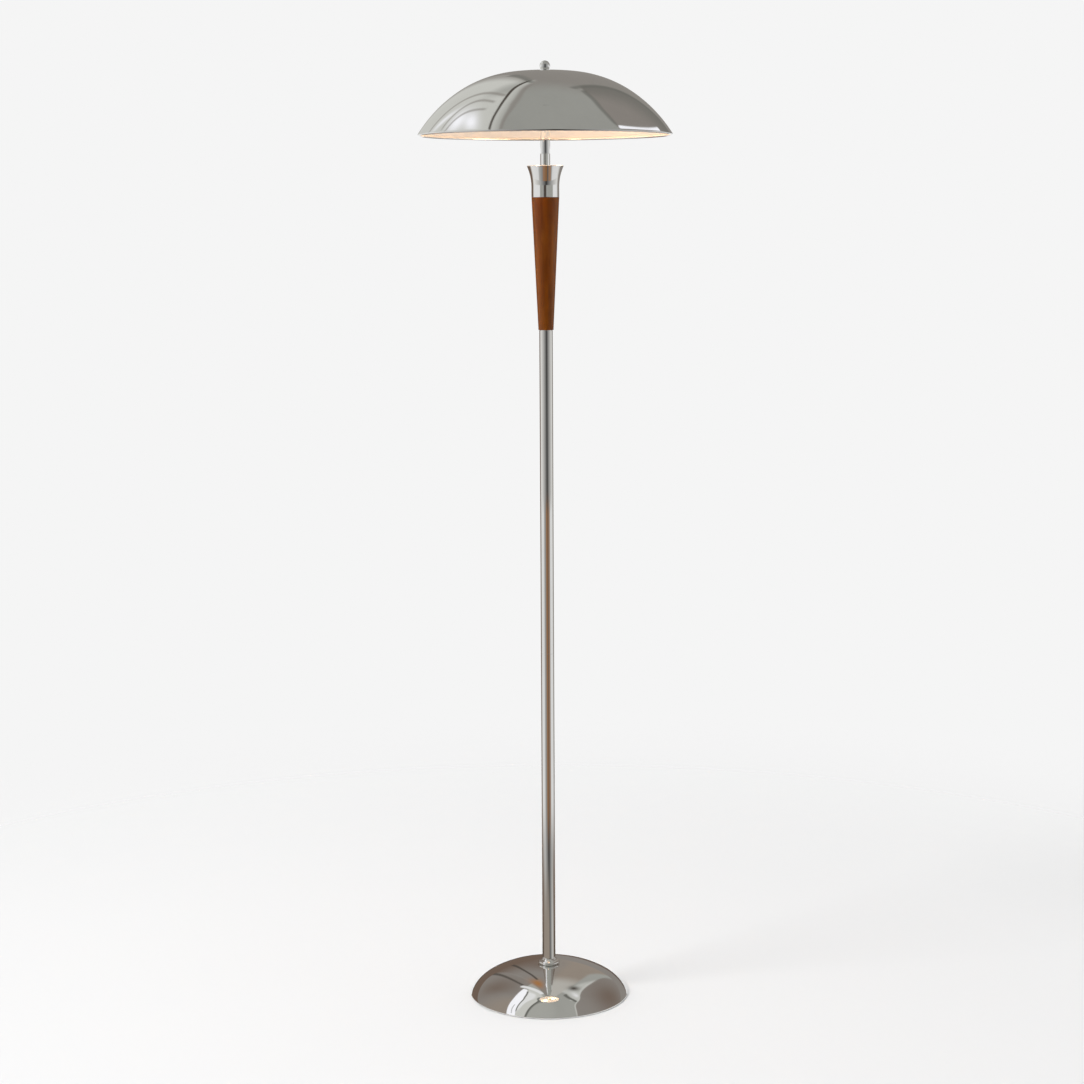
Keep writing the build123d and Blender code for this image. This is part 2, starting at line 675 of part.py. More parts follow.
def switch_parts():
    """Rotary switch in the can's wall, its nut, and the shaft and knob that turn."""
    back = SWITCH_FROM_AXIS
    front = back + SWITCH_DEEP
    collar_end = CAN_R + SWITCH_COLLAR_PROUD
    shaft_foot = front - SWITCH_SHAFT_INSIDE
    knob_foot = collar_end + KNOB_GAP
    knob_end = knob_foot + KNOB_LONG
    shaft_end = knob_foot + KNOB_SOCKET_DEEP
    body = block(SWITCH_HIGH, SWITCH_WIDE, back, front) + rod(SWITCH_COLLAR_R, front, collar_end)
    body -= rod(SWITCH_SHAFT_R + TURN_GAP, shaft_foot - TURN_GAP, collar_end)
    knob = rod(KNOB_R, knob_foot, knob_end)
    knob = fillet(knob.edges().filter_by(GeomType.CIRCLE).group_by(Axis.Z)[-1], KNOB_EDGE)
    flute = Pos(KNOB_R, 0, 0) * rod(KNOB_FLUTE_R, knob_foot, knob_end)
    for turn in range(KNOB_FLUTES):
        knob -= Rot(0, 0, turn * 360 / KNOB_FLUTES) * flute
    knob -= rod(SWITCH_SHAFT_R, knob_foot, shaft_end)
    pieces = {
        "switch_body": body,
        "switch_nut": nut(SWITCH_NUT_FLATS, SWITCH_COLLAR_R + THREAD_GAP, CAN_R, SWITCH_NUT_THICK),
        "switch_shaft": rod(SWITCH_SHAFT_R, shaft_foot, shaft_end),
        "switch_knob": knob,
    }
    return {name: switch_place() * piece for name, piece in pieces.items()}


# ---------------------------------------------------------------- shade and finial
def shade():
    """Spun steel dome, rolled inwards at the rim, with a flat seat and a hole at its crown."""
    rim_r = SHADE_R - SHADE_BEAD_R * (1 - sin(radians(SHADE_RIM_SLOPE)))
    rim = (rim_r, SHADE_TOP_Z - SHADE_DROP)
    turns = (SHADE_CROWN_TURN, SHADE_SHOULDER_TURN, SHADE_RIM_SLOPE)
    arcs = dome_arcs((SHADE_SEAT_R, SHADE_TOP_Z), rim, turns, SHADE_FLANK_RADIUS)
    shell = dome_shell(arcs, ROD_R + SLEEVE_GAP, SHADE_SHEET)
    centre_r, centre_z = arcs[-1].point(arcs[-1].end, SHADE_BEAD_R)
    bead = revolve(Pos(centre_r, 0, centre_z) * Rot(90, 0, 0) * Circle(SHADE_BEAD_R), Axis.Z)
    return shell + bead


def shade_rod():
    """Rod from the cluster's lid through the shade into the finial."""
    low = CAN_TOP_Z - ROD_NUT_THICK - PIPE_PROUD
    return rod(ROD_R, low, FINIAL_Z + FINIAL_BORE_DEEP - TURN_GAP)


def shade_rod_nuts():
    """Nuts below and above the cluster's lid, and one below the shade's seat washer."""
    seat_nut_z = SHADE_UNDER_Z - WASHER_THICK - ROD_NUT_THICK
    lows = (CAN_TOP_Z - ROD_NUT_THICK, COVER_TOP_Z, seat_nut_z)
    return Compound([nut(ROD_NUT_FLATS, ROD_R + THREAD_GAP, low, ROD_NUT_THICK) for low in lows])


def finial():
    """Ball on a short neck, bored and threaded from below."""
    top = FINIAL_Z + FINIAL_TALL
    centre = top - FINIAL_BALL_R
    bore_r = ROD_R + THREAD_GAP
    bore_top = FINIAL_Z + FINIAL_BORE_DEEP
    meet_z = centre - sqrt(FINIAL_BALL_R**2 - FINIAL_NECK_R**2)
    return turned(
        [
            (bore_r, FINIAL_Z),
            (FINIAL_NECK_R, FINIAL_Z),
            (FINIAL_NECK_R, meet_z),
            Bend((FINIAL_BALL_R, centre), (0, top)),
            (0, bore_top),
            (bore_r, bore_top),
        ]
    )


def crown():
    washer_low = SHADE_UNDER_Z - WASHER_THICK
    hole_r = ROD_R + SLEEVE_GAP
    return {
        "shade": shade(),
        "shade_rod": shade_rod(),
        "shade_rod_nuts": shade_rod_nuts(),
        "shade_seat_washer": ring(WASHER_R, hole_r, washer_low, SHADE_UNDER_Z),
        "finial_washer": ring(FINIAL_WASHER_R, hole_r, SHADE_TOP_Z, FINIAL_WASHER_Z),
        "finial": finial(),
    }


def all_parts():
    parts = {"base_cover": base_cover(), "base_weight": base_weight(), "base_pad": base_pad()}
    parts.update(base_fasteners())
    parts.update(cord_bushing=cord_bushing(), lamp_cable=lamp_cable(), splice_caps=splice_caps())
    for group in (post(), neck(), stem(), cluster(), socket_parts(), switch_parts(), crown()):
        parts.update(group)
    parts.update(socket_nuts=socket_nuts(), cluster_leads=cluster_leads())
    return parts


os.makedirs("parts", exist_ok=True)
for node, solid in all_parts().items():
    export_step(solid, f"parts/{node}.step")
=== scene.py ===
"""Studio picture of a mushroom floor lamp.

The lamp stands on a domed mirror base. A chrome post carries a turned wood neck and a flared cup,
and a slim stem above the cup carries two bulbs under a wide dome shade with a ball finial.
"""

import logging
import math
from collections.abc import Mapping, Sequence
from dataclasses import dataclass, field
from enum import Enum

import bpy
import numpy as np
from mathutils import Matrix, Vector

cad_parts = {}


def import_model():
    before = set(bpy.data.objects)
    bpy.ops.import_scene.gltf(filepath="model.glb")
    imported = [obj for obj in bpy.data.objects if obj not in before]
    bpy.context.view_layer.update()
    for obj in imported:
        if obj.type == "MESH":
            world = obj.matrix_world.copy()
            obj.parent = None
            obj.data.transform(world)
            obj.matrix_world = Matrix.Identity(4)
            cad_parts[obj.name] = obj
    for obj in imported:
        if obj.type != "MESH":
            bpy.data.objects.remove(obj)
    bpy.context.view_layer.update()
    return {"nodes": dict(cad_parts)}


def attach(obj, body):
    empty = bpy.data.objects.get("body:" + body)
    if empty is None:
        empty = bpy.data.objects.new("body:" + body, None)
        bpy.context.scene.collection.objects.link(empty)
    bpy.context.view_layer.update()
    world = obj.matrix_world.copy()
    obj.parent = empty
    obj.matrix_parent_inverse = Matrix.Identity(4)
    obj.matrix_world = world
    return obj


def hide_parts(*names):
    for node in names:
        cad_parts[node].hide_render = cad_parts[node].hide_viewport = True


LOG = logging.getLogger("floor_lamp")
MM = 0.001
CREASE = math.radians(38)  # a bend sharper than this shows as an edge
Socket = bpy.types.NodeSocket
Colour = tuple[float, float, float]
Place = tuple[float, float, float]
Way = tuple[float, float]  # a bearing and an elevation, in degrees


# ---------------------------------------------------------------- shapes
@dataclass(frozen=True)
class Arc:
    """One arc of a turned outline, with angles in radians from the vertical.

    A point at angle a lies at (centre_r + radius sin a, centre_z + radius cos a).
    """

    centre_r: float
    centre_z: float
    radius: float
    start: float
    end: float

    def points(self, inset: float = 0.0, count: int = 24, back: bool = False) -> np.ndarray:
        """Samples the arc evenly.

        Args:
            inset: How far inside the arc the points lie.
            count: Number of points.
            back: Whether the points run from the end to the start.

        Returns:
            A (count, 2) array of (r, z).
        """
        angles = np.linspace(self.start, self.end, count)
        reach = self.radius - inset
        line = np.stack((self.centre_r + reach * np.sin(angles), self.centre_z + reach * np.cos(angles)), 1)
        return line[::-1] if back else line


def dome_arcs(
    seat: tuple[float, float], rim: tuple[float, float], turns: Sequence[float], flank: float | None = None
) -> list[Arc]:
    """Tangent arcs from a level seat edge down to a rim.

    Each arc starts at the slope where the last one ended. The first two radii are the solution of the
    two linear equations that say how far the arcs must travel across and down between seat and rim.

    Args:
        seat: The seat's edge, (r, z).
        rim: The rim, (r, z).
        turns: Slope in degrees at the end of each arc.
        flank: Radius of a third arc, if there is one.

    Returns:
        The arcs from the seat to the rim.
    """
    angles = [math.radians(t) for t in turns]
    across, down = rim[0] - seat[0], seat[1] - rim[1]
    radii = []
    if flank is not None:
        across -= flank * (math.sin(angles[2]) - math.sin(angles[1]))
        down -= flank * (math.cos(angles[1]) - math.cos(angles[2]))
        radii = [flank]
    a, b = angles[:2]
    across_row = [math.sin(a), math.sin(b) - math.sin(a)]
    down_row = [1 - math.cos(a), math.cos(a) - math.cos(b)]
    crown, shoulder = np.linalg.solve(np.array([across_row, down_row]), (across, down))
    arcs, start, (r, z) = [], 0.0, seat
    for radius, end in zip([crown, shoulder] + radii, angles):
        arc = Arc(r - radius * math.sin(start), z - radius * math.cos(start), radius, start, end)
        arcs.append(arc)
        start, (r, z) = end, arc.points(count=2)[-1]
    return arcs


def unit(ways: np.ndarray) -> np.ndarray:
    """Each row divided by its length."""
    return ways / np.maximum(np.linalg.norm(ways, axis=1, keepdims=True), 1e-9)


def softened(
    corners: Sequence[tuple[float, float, float]], closed: bool = True, steps: int = 5
) -> np.ndarray:
    """Rounds the corners of an outline.

    A corner with radius s becomes a curve from s before it to s after it, the quadratic blend
    (1-t)^2 A + 2t(1-t) C + t^2 B of its two ends A and B and the corner C, with one more point a
    little further out on each side that keeps the straight sides flat. A corner with s = 0 stays.

    Args:
        corners: (r, z, s) of each corner.
        closed: Whether the last corner joins the first.
        steps: Number of points on each rounded corner.

    Returns:
        The outline as a (n, 2) array of (r, z).
    """
    table = np.array(corners, float)
    here, soft = table[:, :2], table[:, 2:]
    before, after = np.roll(here, 1, 0) - here, np.roll(here, -1, 0) - here
    if not closed:
        soft[[0, -1]] = 0.0
    t = np.linspace(0.0, 1.0, steps)[None, :, None]
    outer = 1.8  # how far out the flat side's extra point lies, in radii
    first, last = (here + unit(before) * soft)[:, None], (here + unit(after) * soft)[:, None]
    curve = (1 - t) ** 2 * first + 2 * t * (1 - t) * here[:, None] + t**2 * last
    lead, trail = (here + unit(before) * soft * outer)[:, None], (here + unit(after) * soft * outer)[:, None]
    curve = np.concatenate((lead, curve, trail), 1)
    return np.concatenate([rows if s > 0 else rows[:1] for rows, s in zip(curve, soft[:, 0])])


def joined(*runs: np.ndarray | Sequence[tuple[float, float]]) -> np.ndarray:
    """One outline from several runs of (r, z), without the points where one run repeats the last."""
    line = np.concatenate([np.asarray(run, float).reshape(-1, 2) for run in runs])
    apart = np.linalg.norm(line - np.roll(line, 1, 0), axis=1) > 1e-6
    return line[apart]


def outward(azimuth: float, height: float) -> Matrix:
    """The place whose own Z runs level and outward from the post, at an azimuth in degrees and a height."""
    turn = Matrix.Rotation(math.radians(azimuth), 4, "Z") @ Matrix.Rotation(math.radians(90), 4, "Y")
    return Matrix.Translation((0, 0, height)) @ turn


def mesh_piece(name: str, points: np.ndarray, faces: Sequence[np.ndarray]) -> bpy.types.Object:
    """Puts worked-out points and faces into a smooth-shaded piece.

    Args:
        name: Name of the piece.
        points: (n, 3) array in metres.
        faces: Arrays of corner numbers, one array for quads and one for triangles.

    Returns:
        The new object, linked to the scene.
    """
    mesh = bpy.data.meshes.new(name)
    counts = np.concatenate([np.full(len(f), f.shape[1]) for f in faces if len(f)])
    corners = np.concatenate([f.ravel() for f in faces if len(f)])
    mesh.vertices.add(len(points))
    mesh.vertices.foreach_set("co", np.ascontiguousarray(points, np.float32).ravel())
    mesh.loops.add(len(corners))
    mesh.loops.foreach_set("vertex_index", corners.astype(np.int32))
    mesh.polygons.add(len(counts))
    mesh.polygons.foreach_set("loop_start", np.concatenate(([0], np.cumsum(counts)[:-1])).astype(np.int32))
    mesh.update(calc_edges=True)
    mesh.validate()
    mesh.shade_smooth()
    mesh.set_sharp_from_angle(angle=CREASE)
    piece = bpy.data.objects.new(name, mesh)
    bpy.context.scene.collection.objects.link(piece)
    return piece


def grid_quads(n: int, m: int) -> np.ndarray:
    """Corner numbers of the quads on an open grid of n by m points."""
    i, j = np.meshgrid(np.arange(n - 1), np.arange(m - 1), indexing="ij")
    return np.stack((i * m + j, i * m + j + 1, (i + 1) * m + j + 1, (i + 1) * m + j), 2).reshape(-1, 4)


def turned(
    name: str, outline: np.ndarray, around: int, closed: bool = True, place: Matrix | None = None
) -> bpy.types.Object:
    """Turns an outline about its axis.

    The point (r, z) of the outline at angle t lies at (r cos t, r sin t, z). The outline runs up on the
    outside and down on the inside, so the faces point out. An end on the axis becomes a single pole.

    Args:
        name: Name of the piece.
        outline: (n, 2) array of (r, z) in millimetres.
        around: Number of steps round the axis.
        closed: Whether the last point joins the first; otherwise both ends are on the axis.
        place: Where the axis goes, upright through the origin if left out.

    Returns:
        The new object.
    """
    line = np.asarray(outline, float) * MM
    rows = line if closed else line[1:-1]
    angle = np.arange(around) * (2 * math.pi / around)
    reach = np.repeat(rows[:, :1], around, 1)
    grid = np.stack((reach * np.cos(angle), reach * np.sin(angle), np.repeat(rows[:, 1:], around, 1)), 2)
    points = grid.reshape(-1, 3)
    n = len(rows)
    low = np.arange(n if closed else n - 1)
    i, j = np.meshgrid(low, np.arange(around), indexing="ij")
    up, side = (i + 1) % n, (j + 1) % around
    corners = (i * around + j, i * around + side, up * around + side, up * around + j)
    quads = np.stack(corners, 2).reshape(-1, 4)
    fans = np.zeros((0, 3), int)
    if not closed:
        foot, top = len(points), len(points) + 1
        points = np.concatenate((points, [[0, 0, line[0, 1]], [0, 0, line[-1, 1]]]))
        j = np.arange(around)
        side, last = (j + 1) % around, (n - 1) * around
        under = np.stack((np.full(around, foot), side, j), 1)
        over = np.stack((np.full(around, top), last + j, last + side), 1)
        fans = np.concatenate((under, over))
    if place is not None:
        turn = np.array(place)
        points = points @ turn[:3, :3].T + turn[:3, 3] * MM
    return mesh_piece(name, points, (quads, fans))


# ---------------------------------------------------------------- surface effects
class Bench:
    """Adds nodes to one node tree with few words."""

    def __init__(self, tree: bpy.types.NodeTree) -> None:
        """Keeps the tree to work on."""
        self.tree = tree

    def node(
        self, kind: str, inputs: Mapping[str | int, object] | None = None, **settings: object
    ) -> bpy.types.Node:
        """Adds a node.

        Args:
            kind: The node's type name.
            inputs: A value, or a socket to link, for each input by name or number.
            settings: The node's own properties.

        Returns:
            The new node.
        """
        new = self.tree.nodes.new(kind)
        for key, value in settings.items():
            setattr(new, key, value)
        for key, value in (inputs or {}).items():
            if isinstance(value, Socket):
                self.tree.links.new(value, new.inputs[key])
            else:
                new.inputs[key].default_value = value
        return new

    def maths(self, operation: str, *values: object) -> Socket:
        """A Math node's result for one to three values or sockets."""
        return self.node("ShaderNodeMath", dict(enumerate(values)), operation=operation).outputs[0]

    def blend(self, share: object, first: object, second: object) -> Socket:
        """A mix of two colours by a share from 0 to 1."""
        inputs = {0: share, 6: first, 7: second}
        return self.node("ShaderNodeMix", inputs, data_type="RGBA").outputs[2]

    def ramp(
        self, value: Socket, low: float, high: float, out_low: float = 0.0, out_high: float = 1.0
    ) -> Socket:
        """A value mapped smoothly from one range to another."""
        inputs = {"Value": value, "From Min": low, "From Max": high, "To Min": out_low, "To Max": out_high}
        return self.node("ShaderNodeMapRange", inputs, interpolation_type="SMOOTHSTEP").outputs[0]

    def spots(self, scale: float, detail: float = 4.0, stretch: Place = (1.0, 1.0, 1.0)) -> Socket:
        """Noise on object coordinates, stretched by a factor along each axis."""
        where = self.node("ShaderNodeTexCoord").outputs["Object"]
        pulled = self.node("ShaderNodeMapping", {"Vector": where, "Scale": stretch}).outputs[0]
        inputs = {"Vector": pulled, "Scale": scale, "Detail": detail}
        return self.node("ShaderNodeTexNoise", inputs).outputs["Fac"]


def effect_group(
    name: str, takes: Mapping[str, float], gives: Sequence[str]
) -> tuple[bpy.types.NodeTree, Bench]:
    """Starts a shader node group of plain values.

    Args:
        name: The group's name.
        takes: Each input with its usual value.
        gives: Each output.

    Returns:
        The group and a bench on it.
    """
    group = bpy.data.node_groups.new(name, "ShaderNodeTree")
    for label, usual in takes.items():
        socket = group.interface.new_socket(name=label, in_out="INPUT", socket_type="NodeSocketFloat")
        socket.default_value = usual
    for label in gives:
        group.interface.new_socket(name=label, in_out="OUTPUT", socket_type="NodeSocketFloat")
    return group, Bench(group)


class Effects:
    """The node groups that several finishes share, each built once."""

    def __init__(self) -> None:
        """Builds the groups."""
        self.handling = self._handling()
        self.grit = self._grit()

    @staticmethod
    def _handling() -> bpy.types.NodeTree:
        """Faint wipe marks and smudges: a roughness that drifts, and a mask of where they are."""
        takes = {"Roughness": 0.1, "Spread": 0.05}
        group, bench = effect_group("handling_marks", takes, ("Roughness", "Mask"))
        given = bench.node("NodeGroupInput").outputs
        smudge = bench.ramp(bench.spots(14.0, 5.0), 0.42, 0.68)
        wipes = bench.ramp(bench.spots(60.0, 3.0, (1.0, 1.0, 0.12)), 0.45, 0.75)
        mask = bench.maths("ADD", bench.maths("MULTIPLY", smudge, 0.7), bench.maths("MULTIPLY", wipes, 0.3))
        rough = bench.maths("MULTIPLY_ADD", mask, given["Spread"], given["Roughness"])
        bench.node("NodeGroupOutput", {"Roughness": rough, "Mask": mask})
        return group

    @staticmethod
    def _grit() -> bpy.types.NodeTree:
        """Small irregular relief at two sizes, for castings, foam, mouldings and sprayed paint."""
        group, bench = effect_group("grit", {"Scale": 300.0, "Coarse": 0.3}, ("Height",))
        given = bench.node("NodeGroupInput").outputs
        where = bench.node("ShaderNodeTexCoord").outputs["Object"]
        fine = bench.node("ShaderNodeTexNoise", {"Vector": where, "Scale": given["Scale"], "Detail": 3.0})
        slow = bench.maths("MULTIPLY", given["Scale"], 0.08)
        coarse = bench.node("ShaderNodeTexNoise", {"Vector": where, "Scale": slow, "Detail": 2.0})
        share = bench.maths("MULTIPLY", coarse.outputs["Fac"], given["Coarse"])
        height = bench.maths("ADD", fine.outputs["Fac"], share)
        bench.node("NodeGroupOutput", {"Height": height})
        return group


@dataclass(frozen=True)
class Finish:
    """A surface finish with its own colour, gloss and fine relief."""

    name: str
    colour: Colour
    second: Colour
    rough: float
    spread: float = 0.06
    metal: float = 0.0
    grit_scale: float = 400.0
    relief: float = 0.0
    shade_spread: float = 0.5
    gloss: float = 0.5

    def material(self, effects: Effects) -> bpy.types.Material:
        """Builds the material.

        Args:
            effects: The shared node groups.

        Returns:
            The new material.
        """
        made = bpy.data.materials.new(self.name)
        made.use_nodes = True
        bench = Bench(made.node_tree)
        shader = made.node_tree.nodes["Principled BSDF"]
        shader.inputs["Metallic"].default_value = self.metal
        shader.inputs["Specular IOR Level"].default_value = self.gloss
        marks = bench.node("ShaderNodeGroup", node_tree=effects.handling)
        marks.inputs["Roughness"].default_value = self.rough
        marks.inputs["Spread"].default_value = self.spread
        made.node_tree.links.new(marks.outputs["Roughness"], shader.inputs["Roughness"])
        made.node_tree.links.new(self.paint(bench, effects, marks), shader.inputs["Base Color"])
        height = self.height(bench, effects)
        if height is not None:
            inputs = {"Height": height, "Strength": self.relief, "Distance": 0.0006}
            bump = bench.node("ShaderNodeBump", inputs)
            made.node_tree.links.new(bump.outputs[0], shader.inputs["Normal"])
        return made

    def paint(self, bench: Bench, effects: Effects, marks: bpy.types.Node) -> Socket:
        """The colour, drifting between the two tones with the smudges."""
        share = bench.maths("MULTIPLY", marks.outputs["Mask"], self.shade_spread)
        return bench.blend(share, (*self.colour, 1), (*self.second, 1))

    def height(self, bench: Bench, effects: Effects) -> Socket | None:
        """The fine relief, or nothing on a smooth finish."""
        if not self.relief:
            return None
        grit = bench.node("ShaderNodeGroup", {"Scale": self.grit_scale}, node_tree=effects.grit)
        return grit.outputs["Height"]


@dataclass(frozen=True)
class StainedWood(Finish):
    """Stained hardwood under satin lacquer, its grain running up the neck."""

    dark: Colour = (0.085, 0.021, 0.0015)

    def paint(self, bench: Bench, effects: Effects, marks: bpy.types.Node) -> Socket:
        """Long streaks, drifting bands and short dark pores, all stretched along the axis."""
        streaks = bench.ramp(bench.spots(95.0, 7.0, (1.0, 1.0, 0.05)), 0.32, 0.7)
        bands = bench.ramp(bench.spots(26.0, 3.0, (1.0, 1.0, 0.09)), 0.38, 0.66)
        mottle = bench.spots(38.0, 4.0, (1.0, 1.0, 0.6))
        pores = self.pores(bench, 0.0, 1.0)
        base = bench.blend(bands, (*self.colour, 1), (*self.second, 1))
        grained = bench.blend(bench.maths("MULTIPLY", streaks, 0.55), base, (*self.dark, 1))
        clouded = bench.blend(bench.ramp(mottle, 0.4, 0.75, 0.0, 0.35), grained, (*self.second, 1))
        return bench.blend(bench.maths("MULTIPLY", pores, 0.6), clouded, (*self.dark, 1))

    def height(self, bench: Bench, effects: Effects) -> Socket | None:
        """Pores sunk a little into the lacquer."""
        return self.pores(bench, 1.0, 0.0)

    @staticmethod
    def pores(bench: Bench, between: float, inside: float) -> Socket:
        """Short dark pores along the grain: one value between them and another inside."""
        return bench.ramp(bench.spots(520.0, 2.0, (1.0, 1.0, 0.035)), 0.60, 0.72, between, inside)


@dataclass(frozen=True)
class LitGlass(Finish):
    """Frosted glass with the light of its own lamp inside."""

    glow: Colour = (1.0, 0.62, 0.37)
    power: float = 11.0

    def material(self, effects: Effects) -> bpy.types.Material:
        """Builds the frosted material and makes it glow, a little less at its blotches."""
        made = super().material(effects)
        shader = made.node_tree.nodes["Principled BSDF"]
        bench = Bench(made.node_tree)
        cloud = bench.ramp(bench.spots(30.0, 2.0), 0.3, 0.7)
        glow = bench.blend(cloud, (*self.glow, 1), (*(c * 0.93 for c in self.glow), 1))
        made.node_tree.links.new(glow, shader.inputs["Emission Color"])
        shader.inputs["Emission Strength"].default_value = self.power
        return made


class Coating(Enum):
    """Every finish on the lamp."""

    CHROME = Finish("polished_chrome", (0.87, 0.87, 0.86), (0.80, 0.80, 0.79), 0.035, 0.03, metal=1.0)
    ZINC = Finish("zinc_plate", (0.62, 0.62, 0.60), (0.45, 0.45, 0.43), 0.32, 0.15, metal=1.0, relief=0.15)
    IRON = Finish("cast_iron", (0.06,) * 3, (0.03, 0.028, 0.026), 0.6, 0.2, relief=0.9, grit_scale=260.0)
    FOAM = Finish("foam_sheet", (0.045,) * 3, (0.02,) * 3, 0.9, 0.05, relief=0.8, grit_scale=700.0)
    WOOD = StainedWood(
        "stained_wood", (0.215, 0.052, 0.0030), (0.345, 0.103, 0.006), 0.17, 0.05, relief=0.06, gloss=0.25
    )
    ENAMEL = Finish("warm_white_enamel", (0.86, 0.82, 0.75), (0.80, 0.75, 0.67), 0.5, 0.1, relief=0.06)
    PHENOLIC = Finish("socket_moulding", (0.03, 0.028, 0.026), (0.05, 0.045, 0.04), 0.45, 0.12, relief=0.1)
    BRASS = Finish("plain_brass", (0.72, 0.50, 0.20), (0.55, 0.36, 0.13), 0.22, 0.15, metal=1.0)
    CAP = Finish("pressed_aluminium", (0.75, 0.75, 0.76), (0.62, 0.62, 0.63), 0.25, 0.12, metal=1.0)
    INSULATOR = Finish("black_glaze", (0.02, 0.02, 0.02), (0.03, 0.03, 0.03), 0.15, 0.1)
    GLASS = LitGlass("frosted_glass", (0.95, 0.92, 0.85), (0.90, 0.86, 0.78), 0.5, 0.1)
    NYLON = Finish("moulded_nylon", (0.03, 0.03, 0.03), (0.045, 0.045, 0.045), 0.5, 0.1, relief=0.15)
    SHEATH = Finish("cable_sheath", (0.045, 0.036, 0.028), (0.03, 0.024, 0.02), 0.38, 0.1, relief=0.05)


class Wardrobe:
    """Makes each finish's material once and dresses pieces with it."""

    def __init__(self) -> None:
        """Builds the effects and an empty store."""
        self.effects = Effects()
        self.made: dict[Coating, bpy.types.Material] = {}

    def cloth(self, coating: Coating) -> bpy.types.Material:
        """The material of a finish."""
        if coating not in self.made:
            self.made[coating] = coating.value.material(self.effects)
        return self.made[coating]

    def dress(self, piece: bpy.types.Object, *coatings: Coating) -> None:
        """Gives a new piece its materials in order."""
        for coating in coatings:
            piece.data.materials.append(self.cloth(coating))


# ---------------------------------------------------------------- the lamp
@dataclass
class SubAssembly:
    """A group of pieces that ride on the lamp's standing body."""

    nodes: Mapping[str, bpy.types.Object]
    wardrobe: Wardrobe

    def stand_in(
        self, piece: bpy.types.Object, node: str, slot: str, *coatings: Coating, body: str = "lamp"
    ) -> bpy.types.Object:
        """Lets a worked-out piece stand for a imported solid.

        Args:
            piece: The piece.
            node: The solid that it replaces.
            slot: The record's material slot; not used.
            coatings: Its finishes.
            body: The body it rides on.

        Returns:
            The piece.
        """
        self.wardrobe.dress(piece, *coatings)
        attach(piece, body)
        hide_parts(node)
        LOG.info("%s stands for %s with %d faces", piece.name, node, len(piece.data.polygons))
        return piece

    def keep(self, coating: Coating, *names: str) -> None:
        """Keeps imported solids: each gets its finish on the object, and its mesh is left alone."""
        for name in names:
            holders = self.nodes[name].material_slots
            if not holders:
                raise ValueError(f"{name} has no material slot")
            for holder in holders:
                holder.link = "OBJECT"
                holder.material = self.wardrobe.cloth(coating)


@dataclass
class DomedBase(SubAssembly):
    """Mirror cover, its weight and pad, and what fastens the post to it. Sizes in millimetres."""

    rim_r: float = 135.5
    seat_z: float = 51.4
    seat_r: float = 20.0
    turns: tuple[float, float] = (29.8, 55.5)
    sheet: float = 1.2
    lip: float = 1.5
    lip_gap: float = 0.5
    hole_r: float = 5.25
    bushing_hole_r: float = 5.3
    bushing_z: float = 9.0
    drill_from: float = 95.0
    drill_to: float = 150.0

    def cover(self) -> bpy.types.Object:
        """The dome: two tangent arcs out, a rounded lip, and the same arcs back inside the sheet."""
        arcs = dome_arcs((self.seat_r, self.seat_z), (self.rim_r, self.lip_gap + self.lip), self.turns)
        inner = [arc.points(self.sheet, 40) for arc in arcs]
        outer = [arc.points(0.0, 60, back=True) for arc in reversed(arcs)]
        lip = softened(
            [
                (self.rim_r - self.sheet, self.lip_gap + self.lip, 0.0),
                (self.rim_r - self.sheet, self.lip_gap, 0.3),
                (self.rim_r, self.lip_gap, 0.4),
                (self.rim_r, self.lip_gap + self.lip, 0.0),
            ]
        )
        foot = [(self.hole_r, self.seat_z)]
        line = joined([(self.hole_r, self.seat_z - self.sheet)], *inner, lip, *outer, foot)
        piece = turned("base_dome", line, 320)
        return self.bored(piece)

    def bored(self, piece: bpy.types.Object) -> bpy.types.Object:
        """Cuts the hole for the cord bushing through the back of the cover."""
        r, near, far = self.bushing_hole_r, self.drill_from, self.drill_to
        drill = softened([(0, near, 0), (r, near, 0), (r, far, 0), (0, far, 0)])
        cutter = turned("bushing_drill", drill, 48, closed=False, place=outward(90, self.bushing_z))
        cut = piece.modifiers.new("bushing_hole", "BOOLEAN")
        cut.object, cut.operation, cut.solver = cutter, "DIFFERENCE", "EXACT"
        graph = bpy.context.evaluated_depsgraph_get()
        mesh = bpy.data.meshes.new_from_object(piece.evaluated_get(graph))
        piece.modifiers.clear()
        piece.data = mesh
        mesh.shade_smooth()
        mesh.set_sharp_from_angle(angle=CREASE)
        bpy.data.objects.remove(cutter)
        return piece

    def build(self) -> None:
        """Makes the mirror cover and dresses the rest."""
        self.stand_in(self.cover(), "base_cover", "polished_chrome", Coating.CHROME)
        self.keep(Coating.IRON, "base_weight")
        self.keep(Coating.FOAM, "base_pad")
        self.keep(Coating.ZINC, "base_washer", "base_lock_washer", "base_nut", "base_pipe")
        self.keep(Coating.NYLON, "cord_bushing", "splice_caps")
        self.keep(Coating.SHEATH, "lamp_cable")


